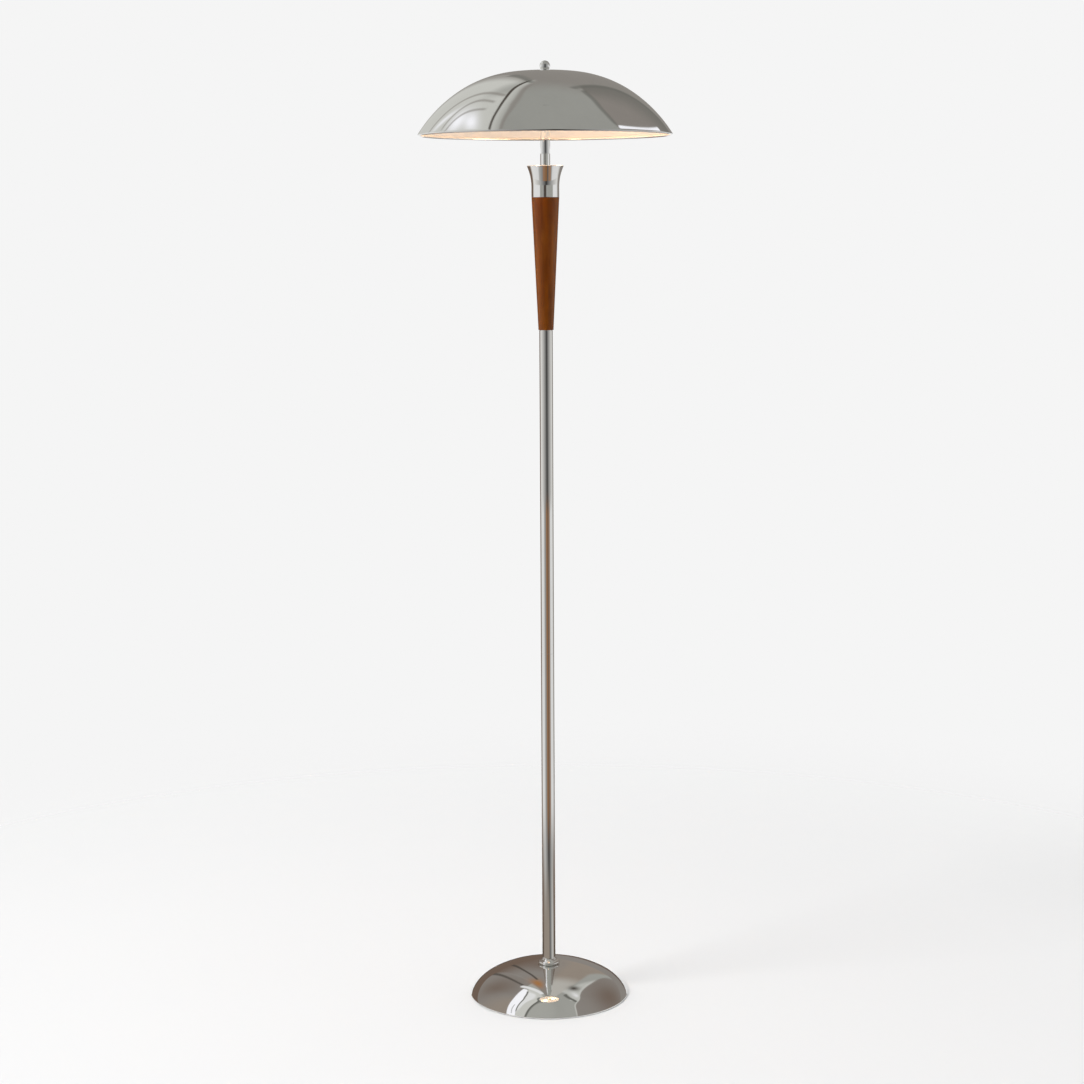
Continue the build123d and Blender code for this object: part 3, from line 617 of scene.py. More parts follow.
@dataclass
class Post(SubAssembly):
    """Rounded ring and the two sections of the post. Sizes in millimetres."""

    foot_z: float = 51.4
    radius: float = 11.1
    wall: float = 1.2
    section: float = 543.0
    ring_r: float = 18.6
    ring_tall: float = 10.5
    ring_band: float = 3.5
    ring_clear: float = 0.1
    end_round: float = 0.12

    def foot_ring(self) -> bpy.types.Object:
        """The ring: a round band below, then a soft slope up to the post."""
        low, band = self.foot_z, self.ring_band
        inner = self.radius + self.ring_clear
        angles = np.linspace(math.pi, 0.0, 28)
        middle = self.ring_r - band
        round_band = np.stack((middle + band * np.sin(angles), low + band + band * np.cos(angles)), 1)
        band_top = low + 2 * band
        slope = softened(
            [
                (middle, band_top, 0.0),
                ((middle + inner) / 2, (band_top + low + self.ring_tall) / 2 - band / 4, 1.3),
                (inner + band / 4, low + self.ring_tall, 0.35),
                (inner, low + self.ring_tall, 0.0),
                (inner, low, 0.0),
            ],
            closed=False,
        )
        return turned("foot_ring_round", joined(round_band, slope), 160)

    def tube(self, name: str, low: float) -> bpy.types.Object:
        """One section: a tube whose end edges are barely rounded."""
        high, inner = low + self.section, self.radius - self.wall
        soft = self.end_round
        corners = [(inner, low, 0), (self.radius, low, soft), (self.radius, high, soft), (inner, high, 0)]
        return turned(name, softened(corners), 160)

    def build(self) -> None:
        """Makes the ring and the tubes and dresses what is inside them."""
        self.stand_in(self.foot_ring(), "foot_ring", "polished_chrome", Coating.CHROME)
        for name, low in (("pole_lower", self.foot_z), ("pole_upper", self.foot_z + self.section)):
            self.stand_in(self.tube(f"{name}_tube", low), name, "polished_chrome", Coating.CHROME)
        inserts = [f"pole_{place}_insert" for place in ("foot", "joint_lower", "joint_upper", "top")]
        self.keep(Coating.ZINC, *inserts, "pole_joint_pipe")


@dataclass
class WoodNeckAndCup(SubAssembly):
    """Turned wood taper and the flared cup on it. Sizes in millimetres."""

    wood_z: float = 1138.2
    wood_long: float = 216.8
    foot_r: float = 12.5
    top_r: float = 22.8
    edge: float = 0.7
    bore_r: float = 5.25
    cup_tall: float = 51.3
    cup_straight: float = 17.0
    cup_lip_r: float = 30.5
    cup_wall: float = 2.0
    cup_floor: float = 2.5
    lip_rise: float = 0.98

    def wood(self) -> bpy.types.Object:
        """The taper: straight sides with softened ends."""
        top = self.wood_z + self.wood_long
        side = np.linspace(0.0, 1.0, 24)[1:-1]
        widths = self.foot_r + (self.top_r - self.foot_r) * side
        lean = np.stack((widths, self.wood_z + self.wood_long * side), 1)
        foot = [(self.bore_r, self.wood_z, 0), (self.foot_r, self.wood_z, self.edge), (*lean[0], 0)]
        head = [(*lean[-1], 0), (self.top_r, top, self.edge), (self.bore_r, top, 0)]
        low, high = softened(foot, False), softened(head, False)
        return turned("wood_neck_turned", joined(low, lean, high), 160)

    def cup_radius(self, height: np.ndarray, inset: float) -> np.ndarray:
        """The cup's radius at heights above its foot: straight, then an arc that flares outward."""
        flare, out = self.cup_tall - self.cup_straight, self.cup_lip_r - self.top_r
        radius = (flare**2 + out**2) / (2 * out)
        up = np.maximum(height - self.cup_straight, 0.0)
        return self.top_r + radius - np.sqrt((radius + inset) ** 2 - up**2)

    def cup(self) -> bpy.types.Object:
        """The cup: the flared outside, a round lip, the inside and the floor."""
        z0 = self.wood_z + self.wood_long
        up = np.linspace(self.cup_straight, self.cup_tall - self.cup_wall / 2, 40)
        outside = np.stack((self.cup_radius(up, 0.0), z0 + up), 1)
        inside = np.stack((self.cup_radius(up[::-1], self.cup_wall), z0 + up[::-1]), 1)
        middle = (outside[-1] + inside[0]) / 2
        half = (outside[-1, 0] - inside[0, 0]) / 2
        turn = np.linspace(0.0, math.pi, 16)[1:-1]
        lip = np.stack((middle[0] + half * np.cos(turn), middle[1] + self.lip_rise * half * np.sin(turn)), 1)
        floor_z = z0 + self.cup_floor
        base = [(self.top_r - self.cup_wall, floor_z), (self.bore_r, floor_z), (self.bore_r, z0)]
        foot = softened([(*base[-1], 0), (self.top_r, z0, 0.3), (*outside[0], 0)], False)
        return turned("flared_cup", joined(outside, lip, inside, base, foot[:-1]), 192)

    def build(self) -> None:
        """Makes the wood and the cup and dresses the fasteners."""
        self.stand_in(self.wood(), "wood_neck", "wood", Coating.WOOD)
        self.stand_in(self.cup(), "neck_cup", "polished_chrome", Coating.CHROME)
        self.keep(Coating.ZINC, "neck_pipe")
        self.keep(Coating.CHROME, "neck_washer", "cup_washer", "cup_nut")


@dataclass
class StemAndLights(SubAssembly):
    """Slim stem, the can on it, the two sockets with their bulbs, and the switch. Sizes in millimetres."""

    stem_z: float = 1364.0
    stem_long: float = 115.0
    stem_r: float = 8.0
    wall: float = 1.2
    socket_z: float = 1499.0
    azimuths: tuple[tuple[str, float], ...] = (("right", 40.0), ("left", 220.0))
    crown: float = 140.2
    bulb_r: float = 30.0
    neck_r: float = 11.8
    flare: float = 60.0
    foot: float = 54.4
    end_round: float = 0.15

    def stem(self) -> bpy.types.Object:
        """The stem: a plain tube with barely rounded ends."""
        low, high, inner = self.stem_z, self.stem_z + self.stem_long, self.stem_r - self.wall
        soft = self.end_round
        corners = [(inner, low, 0), (self.stem_r, low, soft), (self.stem_r, high, soft), (inner, high, 0)]
        return turned("stem_tube_slim", softened(corners), 128)

    def bulb(self, side: str, azimuth: float) -> bpy.types.Object:
        """A bulb's frosted envelope: the neck, an arc that flares out, then the ball up to its crown.

        The flare's centre is as far from the ball's centre as the two radii together, so they meet
        smoothly. The neck is closed inside the cap.
        """
        ball, wide, whole = self.crown - self.bulb_r, self.neck_r + self.flare, self.bulb_r + self.flare
        reach = math.sqrt(whole**2 - wide**2)
        turn = math.asin(reach / whole)
        a = np.linspace(0.0, turn, 20)
        throat = np.stack((wide - self.flare * np.cos(a), ball - reach + self.flare * np.sin(a)), 1)
        c = np.linspace(math.pi / 2 + turn, 0.0, 44)
        dome = np.stack((self.bulb_r * np.sin(c), ball + self.bulb_r * np.cos(c)), 1)
        dome[-1, 0] = 0.0
        line = joined([(0.0, self.foot), (self.neck_r, self.foot)], throat, dome)
        return turned(f"bulb_envelope_{side}", line, 96, closed=False, place=outward(azimuth, self.socket_z))

    def build(self) -> None:
        """Makes the stem and the bulbs and dresses the rest."""
        self.stand_in(self.stem(), "stem_tube", "polished_chrome", Coating.CHROME)
        for side, azimuth in self.azimuths:
            self.stand_in(self.bulb(side, azimuth), f"bulb_glass_{side}", "frosted_glass", Coating.GLASS)
            self.keep(Coating.PHENOLIC, f"socket_body_{side}")
            self.keep(Coating.BRASS, f"socket_shell_{side}", f"socket_contact_{side}")
            self.keep(Coating.CAP, f"bulb_cap_{side}")
            self.keep(Coating.INSULATOR, f"bulb_tip_{side}")
            self.keep(Coating.ZINC, f"socket_pipe_{side}")
        self.keep(Coating.ENAMEL, "cluster_can", "cluster_cover")
        self.keep(Coating.ZINC, "stem_foot_insert", "stem_top_insert")
        self.keep(Coating.ZINC, "cluster_pipe", "cluster_nut", "socket_nuts")
        self.keep(Coating.SHEATH, "cluster_leads")
        self.keep(Coating.PHENOLIC, "switch_body", "switch_knob")
        self.keep(Coating.BRASS, "switch_nut", "switch_shaft")


@dataclass
class DomeShade(SubAssembly):
    """Dome shade, chrome outside and enamel inside, and the ball finial. Sizes in millimetres."""

    rim_r: float = 208.4
    drop: float = 102.1
    seat_r: float = 11.6
    top_z: float = 1559.0
    turns: tuple[float, float, float] = (6.1, 34.9, 57.6)
    flank: float = 229.4
    sheet: float = 0.9
    bead_r: float = 1.8
    bead_open: float = 60.0
    hole_r: float = 3.2
    finial_z: float = 1559.9
    finial_tall: float = 15.2
    ball_r: float = 8.6
    ball_neck_r: float = 6.5
    rod_r: float = 3.15
    bore_deep: float = 8.5

    def shade(self) -> bpy.types.Object:
        """The shade: three tangent arcs, the rim rolled inward into a bead, and the arcs back inside."""
        slope = math.radians(self.turns[2])
        rim = (self.rim_r - self.bead_r * (1 - math.sin(slope)), self.top_z - self.drop)
        arcs = dome_arcs((self.seat_r, self.top_z), rim, self.turns, self.flank)
        centre = arcs[-1].points(self.bead_r, 2)[-1]
        inner = joined(*(arc.points(self.sheet, 24) for arc in arcs))
        inner = inner[np.linalg.norm(inner - centre, axis=1) > self.bead_r]
        outer = joined(*(arc.points(0.0, 48, back=True) for arc in reversed(arcs)))
        turn = np.linspace(slope - math.radians(self.bead_open), slope - 2 * math.pi, 28)[:-1]
        bead = np.stack((centre[0] + self.bead_r * np.sin(turn), centre[1] + self.bead_r * np.cos(turn)), 1)
        hole = [(self.hole_r, self.top_z), (self.hole_r, self.top_z - self.sheet)]
        line = joined(inner, bead, outer, hole)
        around, white_bead_rows = 384, 6
        piece = turned("dome_shade", line, around)
        inside = np.repeat(np.arange(len(line)) < len(inner) + white_bead_rows, around)
        piece.data.polygons.foreach_set("material_index", inside.astype(np.int32))
        return piece

    def finial(self) -> bpy.types.Object:
        """The finial: a neck softened at its foot, then a ball, with the rod's bore below."""
        top = self.finial_z + self.finial_tall
        centre = top - self.ball_r
        start = math.pi - math.asin(self.ball_neck_r / self.ball_r)
        a = np.linspace(start, 0.0, 48)
        ball = np.stack((self.ball_r * np.sin(a), centre + self.ball_r * np.cos(a)), 1)
        ball[-1, 0] = 0.0
        z, deep = self.finial_z, self.finial_z + self.bore_deep
        corners = [(self.rod_r, deep, 0), (self.rod_r, z, 0), (self.ball_neck_r, z, 0.3), (*ball[0], 0)]
        neck = softened(corners, False)
        return turned("finial_ball", joined([(0.0, deep)], neck, ball), 96, closed=False)

    def build(self) -> None:
        """Makes the shade and the finial and dresses what holds them."""
        self.stand_in(self.shade(), "shade", "polished_chrome", Coating.CHROME, Coating.ENAMEL)
        self.stand_in(self.finial(), "finial", "polished_chrome", Coating.CHROME, body="ball")
        self.keep(Coating.CHROME, "finial_washer")
        self.keep(Coating.ZINC, "shade_rod", "shade_rod_nuts", "shade_seat_washer")


# ---------------------------------------------------------------- the studio
def smooth(value: np.ndarray, low: float, high: float) -> np.ndarray:
    """Rises from 0 at low to 1 at high as 3t^2 - 2t^3."""
    t = np.clip((value - low) / (high - low), 0.0, 1.0)
    return t * t * (3 - 2 * t)


class Tone(Enum):
    """The plain whites, greys and browns of the surroundings, as polished chrome shows them on a screen."""

    WHITE = (240, 240, 245)
    PALE = (215, 215, 215)
    LIGHT = (190, 190, 185)
    GREY = (150, 150, 145)
    DULL = (130, 125, 120)
    DIM = (100, 100, 95)
    DARK = (75, 70, 65)
    BLACK = (50, 55, 50)
    WARM = (140, 130, 120)
    BROWN = (105, 90, 80)
    AMBER = (155, 110, 70)

    @property
    def glow(self) -> np.ndarray:
        """Light that gives this tone: (level / 255)^2.2, over the 0.85 that chrome sends back."""
        return (np.array(self.value) / 255.0) ** 2.2 / 0.85


def tint(field_in: np.ndarray, share: np.ndarray, tone: Tone) -> np.ndarray:
    """Moves a field of colours towards one tone by a share at each point."""
    return field_in + (tone.glow - field_in) * share[..., None]


def layered(field_in: np.ndarray, *layers: tuple[np.ndarray, Tone]) -> np.ndarray:
    """Tints a field of colours with one (share, tone) after another."""
    for share, tone in layers:
        field_in = tint(field_in, share, tone)
    return field_in


def band(distance: np.ndarray, half: float, soft: float) -> np.ndarray:
    """1 within half of a line and 0 beyond soft more."""
    return 1 - smooth(np.abs(distance), half, half + soft)


def within(value: np.ndarray, low: float | np.ndarray, high: float | np.ndarray, soft: float) -> np.ndarray:
    """1 between two limits, falling smoothly to 0 over soft at each."""
    return smooth(value - low, -soft / 2, soft / 2) * (1 - smooth(value - high, -soft / 2, soft / 2))


def spot(across: np.ndarray, up: np.ndarray, wide: float, tall: float) -> np.ndarray:
    """A round soft patch, exp(-(a/w)^2 - (u/h)^2)."""
    return np.exp(-((across / wide) ** 2) - (up / tall) ** 2)


def arch(b: np.ndarray, middle: float, half: float, peak: float, foot: float, sharp: float) -> np.ndarray:
    """Height of a round arch over each bearing.

    It is foot + (peak - foot) (1 - |(b - middle) / half|^sharp), so a larger sharp has squarer shoulders.

    Args:
        b: Bearings.
        middle: Bearing of the highest point.
        half: Bearing from there to where the arch is down at its foot.
        peak: Elevation of the highest point.
        foot: Elevation of the foot.
        sharp: Power of the curve.

    Returns:
        The elevation of the arch at each bearing.
    """
    return foot + (peak - foot) * (1 - np.abs((b - middle) / half) ** sharp)


def outline(b: np.ndarray, e: np.ndarray, curve: np.ndarray, half: float, soft: float) -> np.ndarray:
    """1 on a curve of elevation over bearing, by the distance |e - f| / sqrt(1 + (f' / cos e)^2)."""
    slope = np.gradient(curve, axis=1) / np.gradient(b, axis=1) / np.cos(np.radians(e))
    return band((e - curve) / np.hypot(1.0, slope), half, soft)


def streak(b: np.ndarray, e: np.ndarray, start: Way, end: Way, half: float, soft: float) -> np.ndarray:
    """1 on a straight line between two ends, with bearings narrowed by the cosine of the elevation."""
    narrow = np.cos(np.radians(e))
    across, up = ((b - start[0] + 180) % 360 - 180) * narrow, e - start[1]
    run, rise = (end[0] - start[0]) * narrow, end[1] - start[1]
    share = np.clip((across * run + up * rise) / (run**2 + rise**2), 0, 1)
    return 1 - smooth(np.hypot(across - share * run, up - share * rise), half, half + soft)


def side_tones(bearing: np.ndarray) -> np.ndarray:
    """Brightness level with the lamp: 0.03 + 0.95 |sin((b - 8) / 2)|, dark in front and bright behind."""
    return 0.03 + 0.95 * np.abs(np.sin(np.radians(bearing - 8.0) / 2))


def cup_tones(b: np.ndarray) -> np.ndarray:
    """What the cup mirrors: pale, with a dark stripe in the middle and one at the far right."""
    out = np.broadcast_to(Tone.PALE.glow, (*b.shape, 3))
    stripes = ((-45, -15, Tone.GREY), (-15, 10, Tone.DARK), (10, 65, Tone.GREY), (118, 150, Tone.BLACK))
    for low, high, tone in stripes:
        out = tint(out, within(b, low, high, 8.0), tone)
    return out


@dataclass(frozen=True)
class LowerGlow:
    """What the base mirrors, by bearing to the right of the camera and by elevation, in degrees."""

    def left(self, out: np.ndarray, b: np.ndarray, e: np.ndarray) -> np.ndarray:
        """A brown field, a bright arched strip over it, and a pale arch with a dark edge round both."""
        hem = arch(b, -130, 76, 60, 10, 2.8)
        top = arch(b, -115, 70, 68, 20, 2.8)
        outer = arch(b, -130, 97, 81, 0, 10)
        pane = within(e, top + 0.8, outer, 1.5) * within(b, -150, -30, 3.0)
        out = layered(
            out,
            (pane, Tone.LIGHT),
            (pane * band(e - top - 5, 2.0, 4.0) * within(b, -140, -62, 10.0), Tone.PALE),
            (outline(b, e, outer, 0.5, 1.6) * within(b, -130, -34, 4.0), Tone.DIM),
            (within(e, hem, top, 1.0) * within(b, -144, -50, 2.0), Tone.WHITE),
            (outline(b, e, top + 0.5, 0.3, 0.7) * within(b, -140, -62, 3.0), Tone.DIM),
            (streak(b, e, (-65, 40), (-80, 55), 0.2, 0.6) * 0.7, Tone.DIM),
        )
        brown = (1 - smooth(e - hem, -0.7, 0.7)) * within(b, -162, -40, 2.0)
        out = layered(
            out,
            (brown, Tone.DULL),
            (brown * spot(b + 140, e - 35, 16, 20) * 0.7, Tone.BROWN),
            (brown * smooth(b, -128, -90) * 0.9, Tone.WARM),
        )
        back = 1 - smooth(b, -163, -160)
        return layered(
            out,
            (back, Tone.DULL),
            (back * (1 - smooth(e, 8, 38)), Tone.BROWN),
            (spot(b + 167, e - 58, 6, 9), Tone.AMBER),
            (streak(b, e, (-170, 5), (-170, 50), 0.35, 0.6) * 0.9, Tone.DARK),
            (streak(b, e, (-162, 10), (-151, 54), 0.45, 0.8) * 0.8, Tone.DARK),
            (streak(b, e, (-148, 56), (-156, 76), 1.0, 1.0), Tone.PALE),
        )

    def right(self, out: np.ndarray, b: np.ndarray, e: np.ndarray) -> np.ndarray:
        """A dull round arch with a pale edge, and a bright patch with a dark corner over it."""
        top = arch(b, 97, 64, 63, 0, 4.5)
        side = 160.0 - 0.3 * np.clip(e - 30, 0, 40)
        out = layered(
            out,
            (smooth(b, 110, 140) * (1 - smooth(b - side, -2, 2)), Tone.GREY),
            (smooth(b - side, -1.5, 1.5), Tone.WARM),
            (smooth(b - side, -1.5, 1.5) * smooth(e, 40, 60) * 0.6, Tone.LIGHT),
            (within(e, top, 71.5, 2.0) * within(b, 84, 150, 6.0) * 0.7, Tone.LIGHT),
            (spot(b - 122, e - 65.5, 14, 2.6), Tone.PALE),
            (spot(b - 145, e - 60, 7, 4.5), Tone.DARK),
        )
        ridge = arch(b, 122, 46, 73.5, 60, 2.5)
        out = tint(out, outline(b, e, ridge, 0.7, 1.8) * within(b, 80, 136, 4.0), Tone.DIM)
        dull = 1 - smooth(e - top, -0.8, 0.3)
        return layered(
            out,
            (dull * within(b, 34, 156, 4.0), Tone.DULL),
            (dull * spot(b - 120, e - 30, 30, 22) * 0.8, Tone.BROWN),
            (outline(b, e, top + 0.5, 0.35, 0.8) * within(b, 42, 150, 6.0) * 0.7, Tone.LIGHT),
            (smooth(b, 173, 179) * 0.6, Tone.DULL),
        )

    def tones(self, b: np.ndarray, e: np.ndarray) -> np.ndarray:
        """Colours overhead: plain grey between the two sides.

        Args:
            b: Bearings.
            e: Elevations as seen from the base.

        Returns:
            Colours with one more axis.
        """
        out = np.broadcast_to(Tone.GREY.glow * 1.1, (*b.shape, 3))
        out = tint(out, smooth(b, -5.0, 30.0) * 0.9, Tone.GREY)
        out = self.right(self.left(out, b, e), b, e)
        level = side_tones(b)[..., None] * np.array((1.0, 0.985, 0.955))
        share = (1 - smooth(e, 12.5, 15.5)) * (1 - smooth(np.abs(b), 90, 115))
        return out + (level - out) * share[..., None]


@dataclass(frozen=True)
class UpperGlow:
    """What the shade mirrors, by bearing to the right of the camera and by elevation, in degrees."""

    def left(self, out: np.ndarray, b: np.ndarray, e: np.ndarray) -> np.ndarray:
        """A pale field in bent folds, under a dark arched line with a soft pale band over it."""
        line = arch(b, -120, 62, 66, 45, 2.2)
        edge = arch(b, -116, 66, 73, 50, 2.6)
        fade = np.clip((e - line) / np.maximum(edge - line, 0.5), 0, 1)
        out = layered(
            out,
            (within(e, line, edge, 1.5) * within(b, -174, -58, 6.0) * (1 - fade) ** 0.8, Tone.LIGHT),
            (band(e - edge, 0.6, 2.4) * within(b, -172, -58, 10.0) * 0.7, Tone.DULL),
        )
        lit = (1 - smooth(e - line, -0.5, 0.5)) * within(b, -173, -60, 2.0)
        out = tint(out, lit, Tone.LIGHT)
        shine = spot(b + 120, e - 42, 11, 6) + spot(b + 105, e - 50, 14, 4)
        shine = shine + 0.7 * spot(b + 137, e - 32, 3, 7)
        out = layered(
            out,
            (lit * np.clip(shine, 0, 1), Tone.WHITE),
            (lit * smooth(e, 46, 58) * (1 - smooth(b, -150, -132)) * 0.8, Tone.GREY),
        )
        for start, low, high, bow in ((-140, 20, 63, 9), (-127, 32, 61, 11), (-116, 30, 58, 10)):
            fold = start - bow * np.sin(np.pi * np.clip((e - low) / (high - low), 0, 1))
            line_here = band((b - fold) * np.cos(np.radians(e)), 0.25, 1.6) * within(e, low, high, 3.0)
            out = tint(out, lit * line_here * 0.65, Tone.DULL)
        return layered(
            out,
            (lit * (1 - smooth(b, -174, -164)) * 0.85, Tone.DULL),
            (outline(b, e, line, 0.45, 0.7) * within(b, -173, -68, 3.0), Tone.DARK),
            (streak(b, e, (-172, 55), (-173, 30), 0.2, 1.6) * 0.7, Tone.DIM),
        )

    def right(self, out: np.ndarray, b: np.ndarray, e: np.ndarray) -> np.ndarray:
        """A dark field between soft dark edges, and a thin white streak low on it."""
        top = arch(b, 130, 40, 61, 44, 3.0)
        dim_side = (1 - smooth(e - top, -1.5, 0.5)) * within(b, 94, 158, 6.0)
        return layered(
            out,
            (dim_side, Tone.DULL),
            (dim_side * smooth(b, 128, 156) * 0.6, Tone.DIM),
            (outline(b, e, top, 0.3, 2.2) * within(b, 96, 150, 4.0) * 0.7, Tone.DIM),
            (streak(b, e, (158, 15), (157, 60), 0.2, 2.6) * 0.65, Tone.DIM),
            (streak(b, e, (98, 48), (140, 24), 1.0, 0.7), Tone.WHITE),
        )

    def tones(self, b: np.ndarray, e: np.ndarray) -> np.ndarray:
        """Colours overhead: plain grey between the two sides.

        Args:
            b: Bearings.
            e: Elevations as seen from the shade.

        Returns:
            Colours with one more axis.
        """
        out = np.broadcast_to(Tone.GREY.glow * 0.92, (*b.shape, 3))
        out = tint(out, smooth(np.abs(b), 130.0, 165.0) * (1 - smooth(e, 50, 75)) * 0.8, Tone.DULL)
        out = self.right(self.left(out, b, e), b, e)
        level = side_tones(b)[..., None] * np.array((1.0, 0.995, 0.98))
        share = (1 - smooth(e, 10.0, 26.0)) * (1 - smooth(np.abs(b), 120.0, 150.0))
        share = np.maximum(share, (1 - smooth(e, 25.0, 55.0)) * (1 - smooth(np.abs(b), 40.0, 85.0)))
        return out + (level - out) * share[..., None]


@dataclass
class Studio:
    """Floor, soft light, and the cards round the lamp that only its polished metal sees."""

    paper: float = 0.913
    reach: float = 6.5
    shelf_r: float = 0.225
    shelf_z: float = 1.432
    shelf_rise: float = 0.035
    eye_z: float = 1.5
    base_to_shelf: float = 1.4
    floor_r: float = 2.6
    floor_fade: tuple[float, float] = (0.55, 2.2)
    floor_colour: Colour = (0.886, 0.888, 0.891)
    key_place: Place = (-6.5, -3.5, 7.5)
    key_size: float = 4.0
    key_watts: float = 560.0
    eye_place: Place = (0.0, -3.708, 1.311)
    lens: float = 74.19
    looks_down: float = 8.09
    looks_left: float = 0.13
    roll: float = -0.29
    cards: list[bpy.types.Object] = field(default_factory=list)

    def glow(self, name: str) -> bpy.types.Material:
        """A material that shines with the colour stored at each point."""
        made = bpy.data.materials.new(name)
        made.use_nodes = True
        made.node_tree.nodes.clear()
        bench = Bench(made.node_tree)
        stored = bench.node("ShaderNodeAttribute", attribute_name="tone").outputs["Color"]
        shine = bench.node("ShaderNodeEmission", {"Color": stored, "Strength": 1.0})
        bench.node("ShaderNodeOutputMaterial", {"Surface": shine.outputs[0]})
        return made

    def card(self, name: str, grid: np.ndarray, tones: np.ndarray) -> None:
        """Adds a card that only reflections see.

        Args:
            name: Name of the card.
            grid: (n, m, 3) points in metres.
            tones: (n, m, 3) colours.
        """
        n, m = grid.shape[:2]
        piece = mesh_piece(name, grid.reshape(-1, 3), (grid_quads(n, m),))
        store = piece.data.attributes.new("tone", "FLOAT_COLOR", "POINT")
        whole = np.concatenate((tones.reshape(-1, 3), np.ones((n * m, 1))), 1)
        store.data.foreach_set("color", whole.astype(np.float32).ravel())
        piece.data.materials.append(self.glow(f"{name}_glow"))
        piece.visible_camera = piece.visible_diffuse = piece.visible_shadow = False
        piece.visible_transmission = piece.visible_volume_scatter = False
        self.cards.append(piece)

    def around(self, d: np.ndarray, h: np.ndarray) -> tuple[np.ndarray, np.ndarray]:
        """A card carried round the lamp.

        A point at bearing b, with distance d and height h, lies at (d sin b, -d cos b, h).

        Args:
            d: Distance of each step from the axis.
            h: Its height.

        Returns:
            The points as (steps, bearings, 3), and the bearing of each in degrees.
        """
        bearing = np.linspace(-180.0, 180.0, 721)
        b = np.radians(bearing)[None, :]
        d, h = d[:, None], h[:, None]
        grid = np.stack(np.broadcast_arrays(d * np.sin(b), -d * np.cos(b), h), 2)
        return grid, np.broadcast_to(bearing[None, :], grid.shape[:2])

    def shelf_height(self, d: np.ndarray) -> np.ndarray:
        """Height of the shelf, which rises evenly outward so that no level reflection meets it."""
        return self.shelf_z + self.shelf_rise * (d - self.shelf_r)

    def lower_cards(self) -> None:
        """Below the shade: a floor with low walls, and the underside of the shelf over them."""
        rings, rows, inner_r, lift = 60, 24, 0.17, 0.004
        d = np.concatenate((np.geomspace(inner_r, self.reach, rings), np.full(rows, self.reach)))
        rise = np.linspace(lift, float(self.shelf_height(self.reach)), rows + 1)[1:]
        h = np.concatenate((np.full(rings, lift), rise))
        grid, bearing = self.around(d, h)
        far = np.broadcast_to(d[:, None], bearing.shape)
        tones = side_tones(bearing)[..., None] * np.array((1.0, 0.985, 0.955))
        on_floor = np.broadcast_to(h[:, None] < 0.01, bearing.shape)
        tones = tones * np.where(on_floor, 0.93, 1.0)[..., None]
        beyond = smooth(far, 0.8, 1.3) * on_floor
        warm_strip = within(bearing, -20, 45, 5.0) * (1 - 0.8 * within(bearing, 13, 25, 4.0)) * beyond
        tones = layered(
            tones,
            (warm_strip * 0.6, Tone.AMBER),
            (within(np.abs(bearing), 52, 104, 12.0) * beyond * 0.8, Tone.PALE),
        )
        back = smooth(np.abs(bearing), 108.0, 126.0)
        near = (1 - smooth(far, 0.5, 1.4)) * smooth(np.abs(bearing), 60.0, 100.0)
        tones = layered(
            tones,
            (np.maximum(back, near) * (bearing < 0), Tone.BROWN),
            (back * (bearing > 0), Tone.DULL),
            (near * (bearing > 0), Tone.BROWN),
            ((1 - smooth(far, 0.2, 0.5)) * smooth(np.abs(bearing), 90, 120) * 0.75, Tone.DARK),
        )
        foot = (1 - smooth(far, 0.35, 0.9)) * (1 - smooth(np.abs(bearing), 85, 105))
        tones = layered(
            tones,
            (foot * (1 - smooth(bearing, 5, 20)), Tone.WARM),
            (foot * smooth(bearing, 45, 60) * 0.5, Tone.LIGHT),
        )
        share = smooth(grid[..., 2], 0.95, 1.25) * (1 - smooth(np.abs(bearing), 104, 116))
        tones = tones + (cup_tones(bearing) - tones) * share[..., None]
        self.card("reflection_floor", grid, tones)
        r = np.geomspace(self.shelf_r, self.reach, 200)
        grid, bearing = self.around(r, self.shelf_height(r))
        rise = np.broadcast_to(np.degrees(np.arctan2(self.base_to_shelf, r))[:, None], bearing.shape)
        self.card("reflection_shelf", grid, LowerGlow().tones(bearing, rise))

    def upper_cards(self) -> None:
        """Above: the shelf's upper side, and a dome that stands on the shelf's outer edge.

        Its points lie at (reach cos a, edge + reach sin a), and its colours go by elevation from eye_z.
        """
        r = np.geomspace(self.shelf_r, self.reach, 12)
        thickness = 0.0004
        grid, bearing = self.around(r, self.shelf_height(r) + thickness)
        self.card("reflection_shelf_top", grid, side_tones(bearing)[..., None] * np.ones(3))
        rise = np.radians(np.linspace(0.0, 89.9, 361))
        d, h = self.reach * np.cos(rise), self.shelf_height(self.reach) + self.reach * np.sin(rise)
        grid, bearing = self.around(d, h)
        up = np.broadcast_to(np.degrees(np.arctan2(h - self.eye_z, d))[:, None], bearing.shape)
        self.card("reflection_dome", grid, UpperGlow().tones(bearing, up))

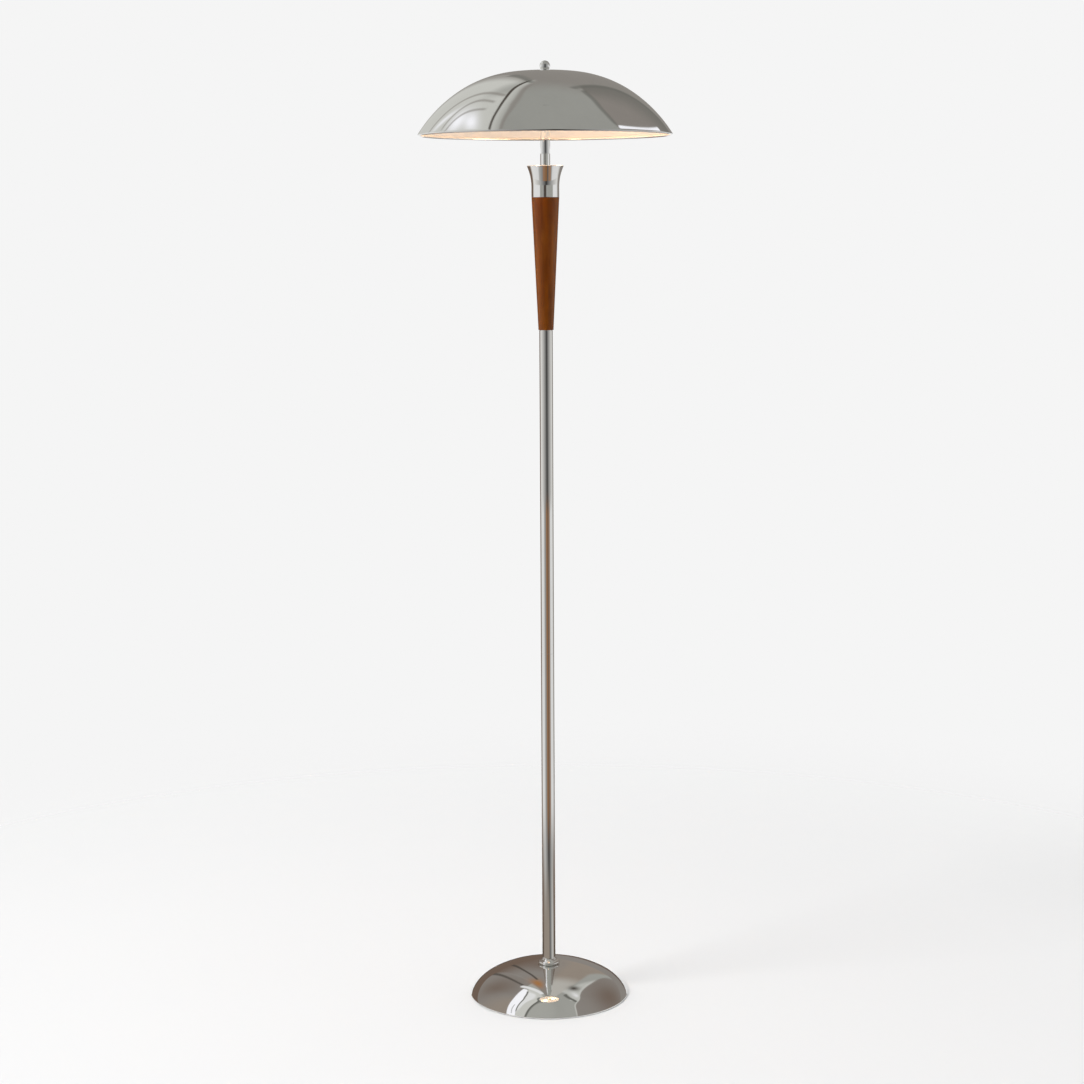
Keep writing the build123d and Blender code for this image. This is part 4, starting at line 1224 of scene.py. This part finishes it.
    def floor(self) -> None:
        """A pale disc that fades into the white background.

        A point lies at (d cos t, d sin t, 0). It is opaque near the lamp and clear at its edge.
        """
        d, t = np.linspace(0.0, self.floor_r, 40)[:, None], np.linspace(0.0, 2 * math.pi, 129)[None, :]
        grid = np.stack(np.broadcast_arrays(d * np.cos(t), d * np.sin(t), np.full_like(d, -0.0002)), 2)
        facing_up = grid_quads(*grid.shape[:2])[:, (0, 3, 2, 1)]
        piece = mesh_piece("floor", grid.reshape(-1, 3), (facing_up,))
        made = bpy.data.materials.new("pale_floor")
        made.use_nodes = True
        bench = Bench(made.node_tree)
        nodes = made.node_tree.nodes
        shader = nodes["Principled BSDF"]
        shader.inputs["Base Color"].default_value = (*self.floor_colour, 1)
        shader.inputs["Roughness"].default_value = 0.9
        shader.inputs["Specular IOR Level"].default_value = 0.1
        where = bench.node("ShaderNodeTexCoord").outputs["Object"]
        far = bench.node("ShaderNodeVectorMath", {0: where}, operation="LENGTH").outputs["Value"]
        fade = bench.ramp(far, *self.floor_fade)
        clear = bench.node("ShaderNodeBsdfTransparent")
        mixed = bench.node("ShaderNodeMixShader", {0: fade, 1: shader.outputs[0], 2: clear.outputs[0]})
        made.node_tree.links.new(mixed.outputs[0], nodes["Material Output"].inputs["Surface"])
        piece.data.materials.append(made)

    def sky(self) -> None:
        """Plain soft light from all round, and the white that the camera and clear or polished things see."""
        world = bpy.data.worlds.new("soft_sky")
        bpy.context.scene.world = world
        world.use_nodes = True
        world.node_tree.nodes.clear()
        bench = Bench(world.node_tree)
        path = bench.node("ShaderNodeLightPath").outputs
        shown = bench.maths("MAXIMUM", path["Is Camera Ray"], path["Is Glossy Ray"])
        shown = bench.maths("MAXIMUM", shown, path["Is Transmission Ray"])
        way = bench.node("ShaderNodeSeparateXYZ", {0: bench.node("ShaderNodeTexCoord").outputs["Generated"]})
        level = bench.ramp(way.outputs["Y"], -0.95, 0.1, 0.26, 0.80)
        soft = bench.node("ShaderNodeBackground", {"Color": (1.0, 1.0, 1.0, 1), "Strength": level})
        white = bench.node("ShaderNodeBackground", {"Color": (self.paper,) * 3 + (1,), "Strength": 1.0})
        mixed = bench.node("ShaderNodeMixShader", {0: shown, 1: soft.outputs[0], 2: white.outputs[0]})
        bench.node("ShaderNodeOutputWorld", {"Surface": mixed.outputs[0]})

    def key_light(self) -> None:
        """A large soft light from the left, which lays the faint shadow to the right."""
        data = bpy.data.lights.new("soft_key", "AREA")
        data.shape, data.size, data.energy = "DISK", self.key_size, self.key_watts
        lamp = bpy.data.objects.new("soft_key", data)
        lamp.location = self.key_place
        aim = Vector((0.0, 0.0, 0.6)) - lamp.location
        lamp.rotation_euler = aim.to_track_quat("-Z", "Y").to_euler()
        lamp.visible_glossy = False
        bpy.context.scene.collection.objects.link(lamp)

    def camera(self) -> None:
        """A camera a little below the shade, tilted down, level to within a third of a degree."""
        data = bpy.data.cameras.new("front_camera")
        data.sensor_width, data.lens = 36.0, self.lens
        eye = bpy.data.objects.new("front_camera", data)
        tilt = Matrix.Rotation(math.radians(90.0 - self.looks_down), 4, "X")
        turn = Matrix.Rotation(math.radians(self.looks_left), 4, "Z")
        roll = Matrix.Rotation(math.radians(self.roll), 4, "Z")
        eye.matrix_world = Matrix.Translation(self.eye_place) @ turn @ tilt @ roll
        bpy.context.scene.collection.objects.link(eye)
        bpy.context.scene.camera = eye

    def build(self) -> None:
        """Sets up the floor, the cards, the light and the camera."""
        self.floor()
        self.lower_cards()
        self.upper_cards()
        self.sky()
        self.key_light()
        self.camera()
        bpy.context.scene.view_settings.view_transform = "Standard"
        LOG.info("studio with %d reflection cards", len(self.cards))


def corners(box: tuple[Vector, Vector]) -> list[list[float]]:
    """A box as plain lists."""
    return [list(corner) for corner in box]


def main() -> None:
    """Loads the fixed frame, builds the lamp and the studio."""
    logging.basicConfig(level=logging.INFO, format="%(name)s: %(message)s")
    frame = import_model()
    nodes, wardrobe = frame["nodes"], Wardrobe()
    for kind in (DomedBase, Post, WoodNeckAndCup, StemAndLights, DomeShade):
        kind(nodes, wardrobe).build()
        LOG.info("built %s", kind.__name__)
    Studio().build()


if __name__ == "__main__":
    main()
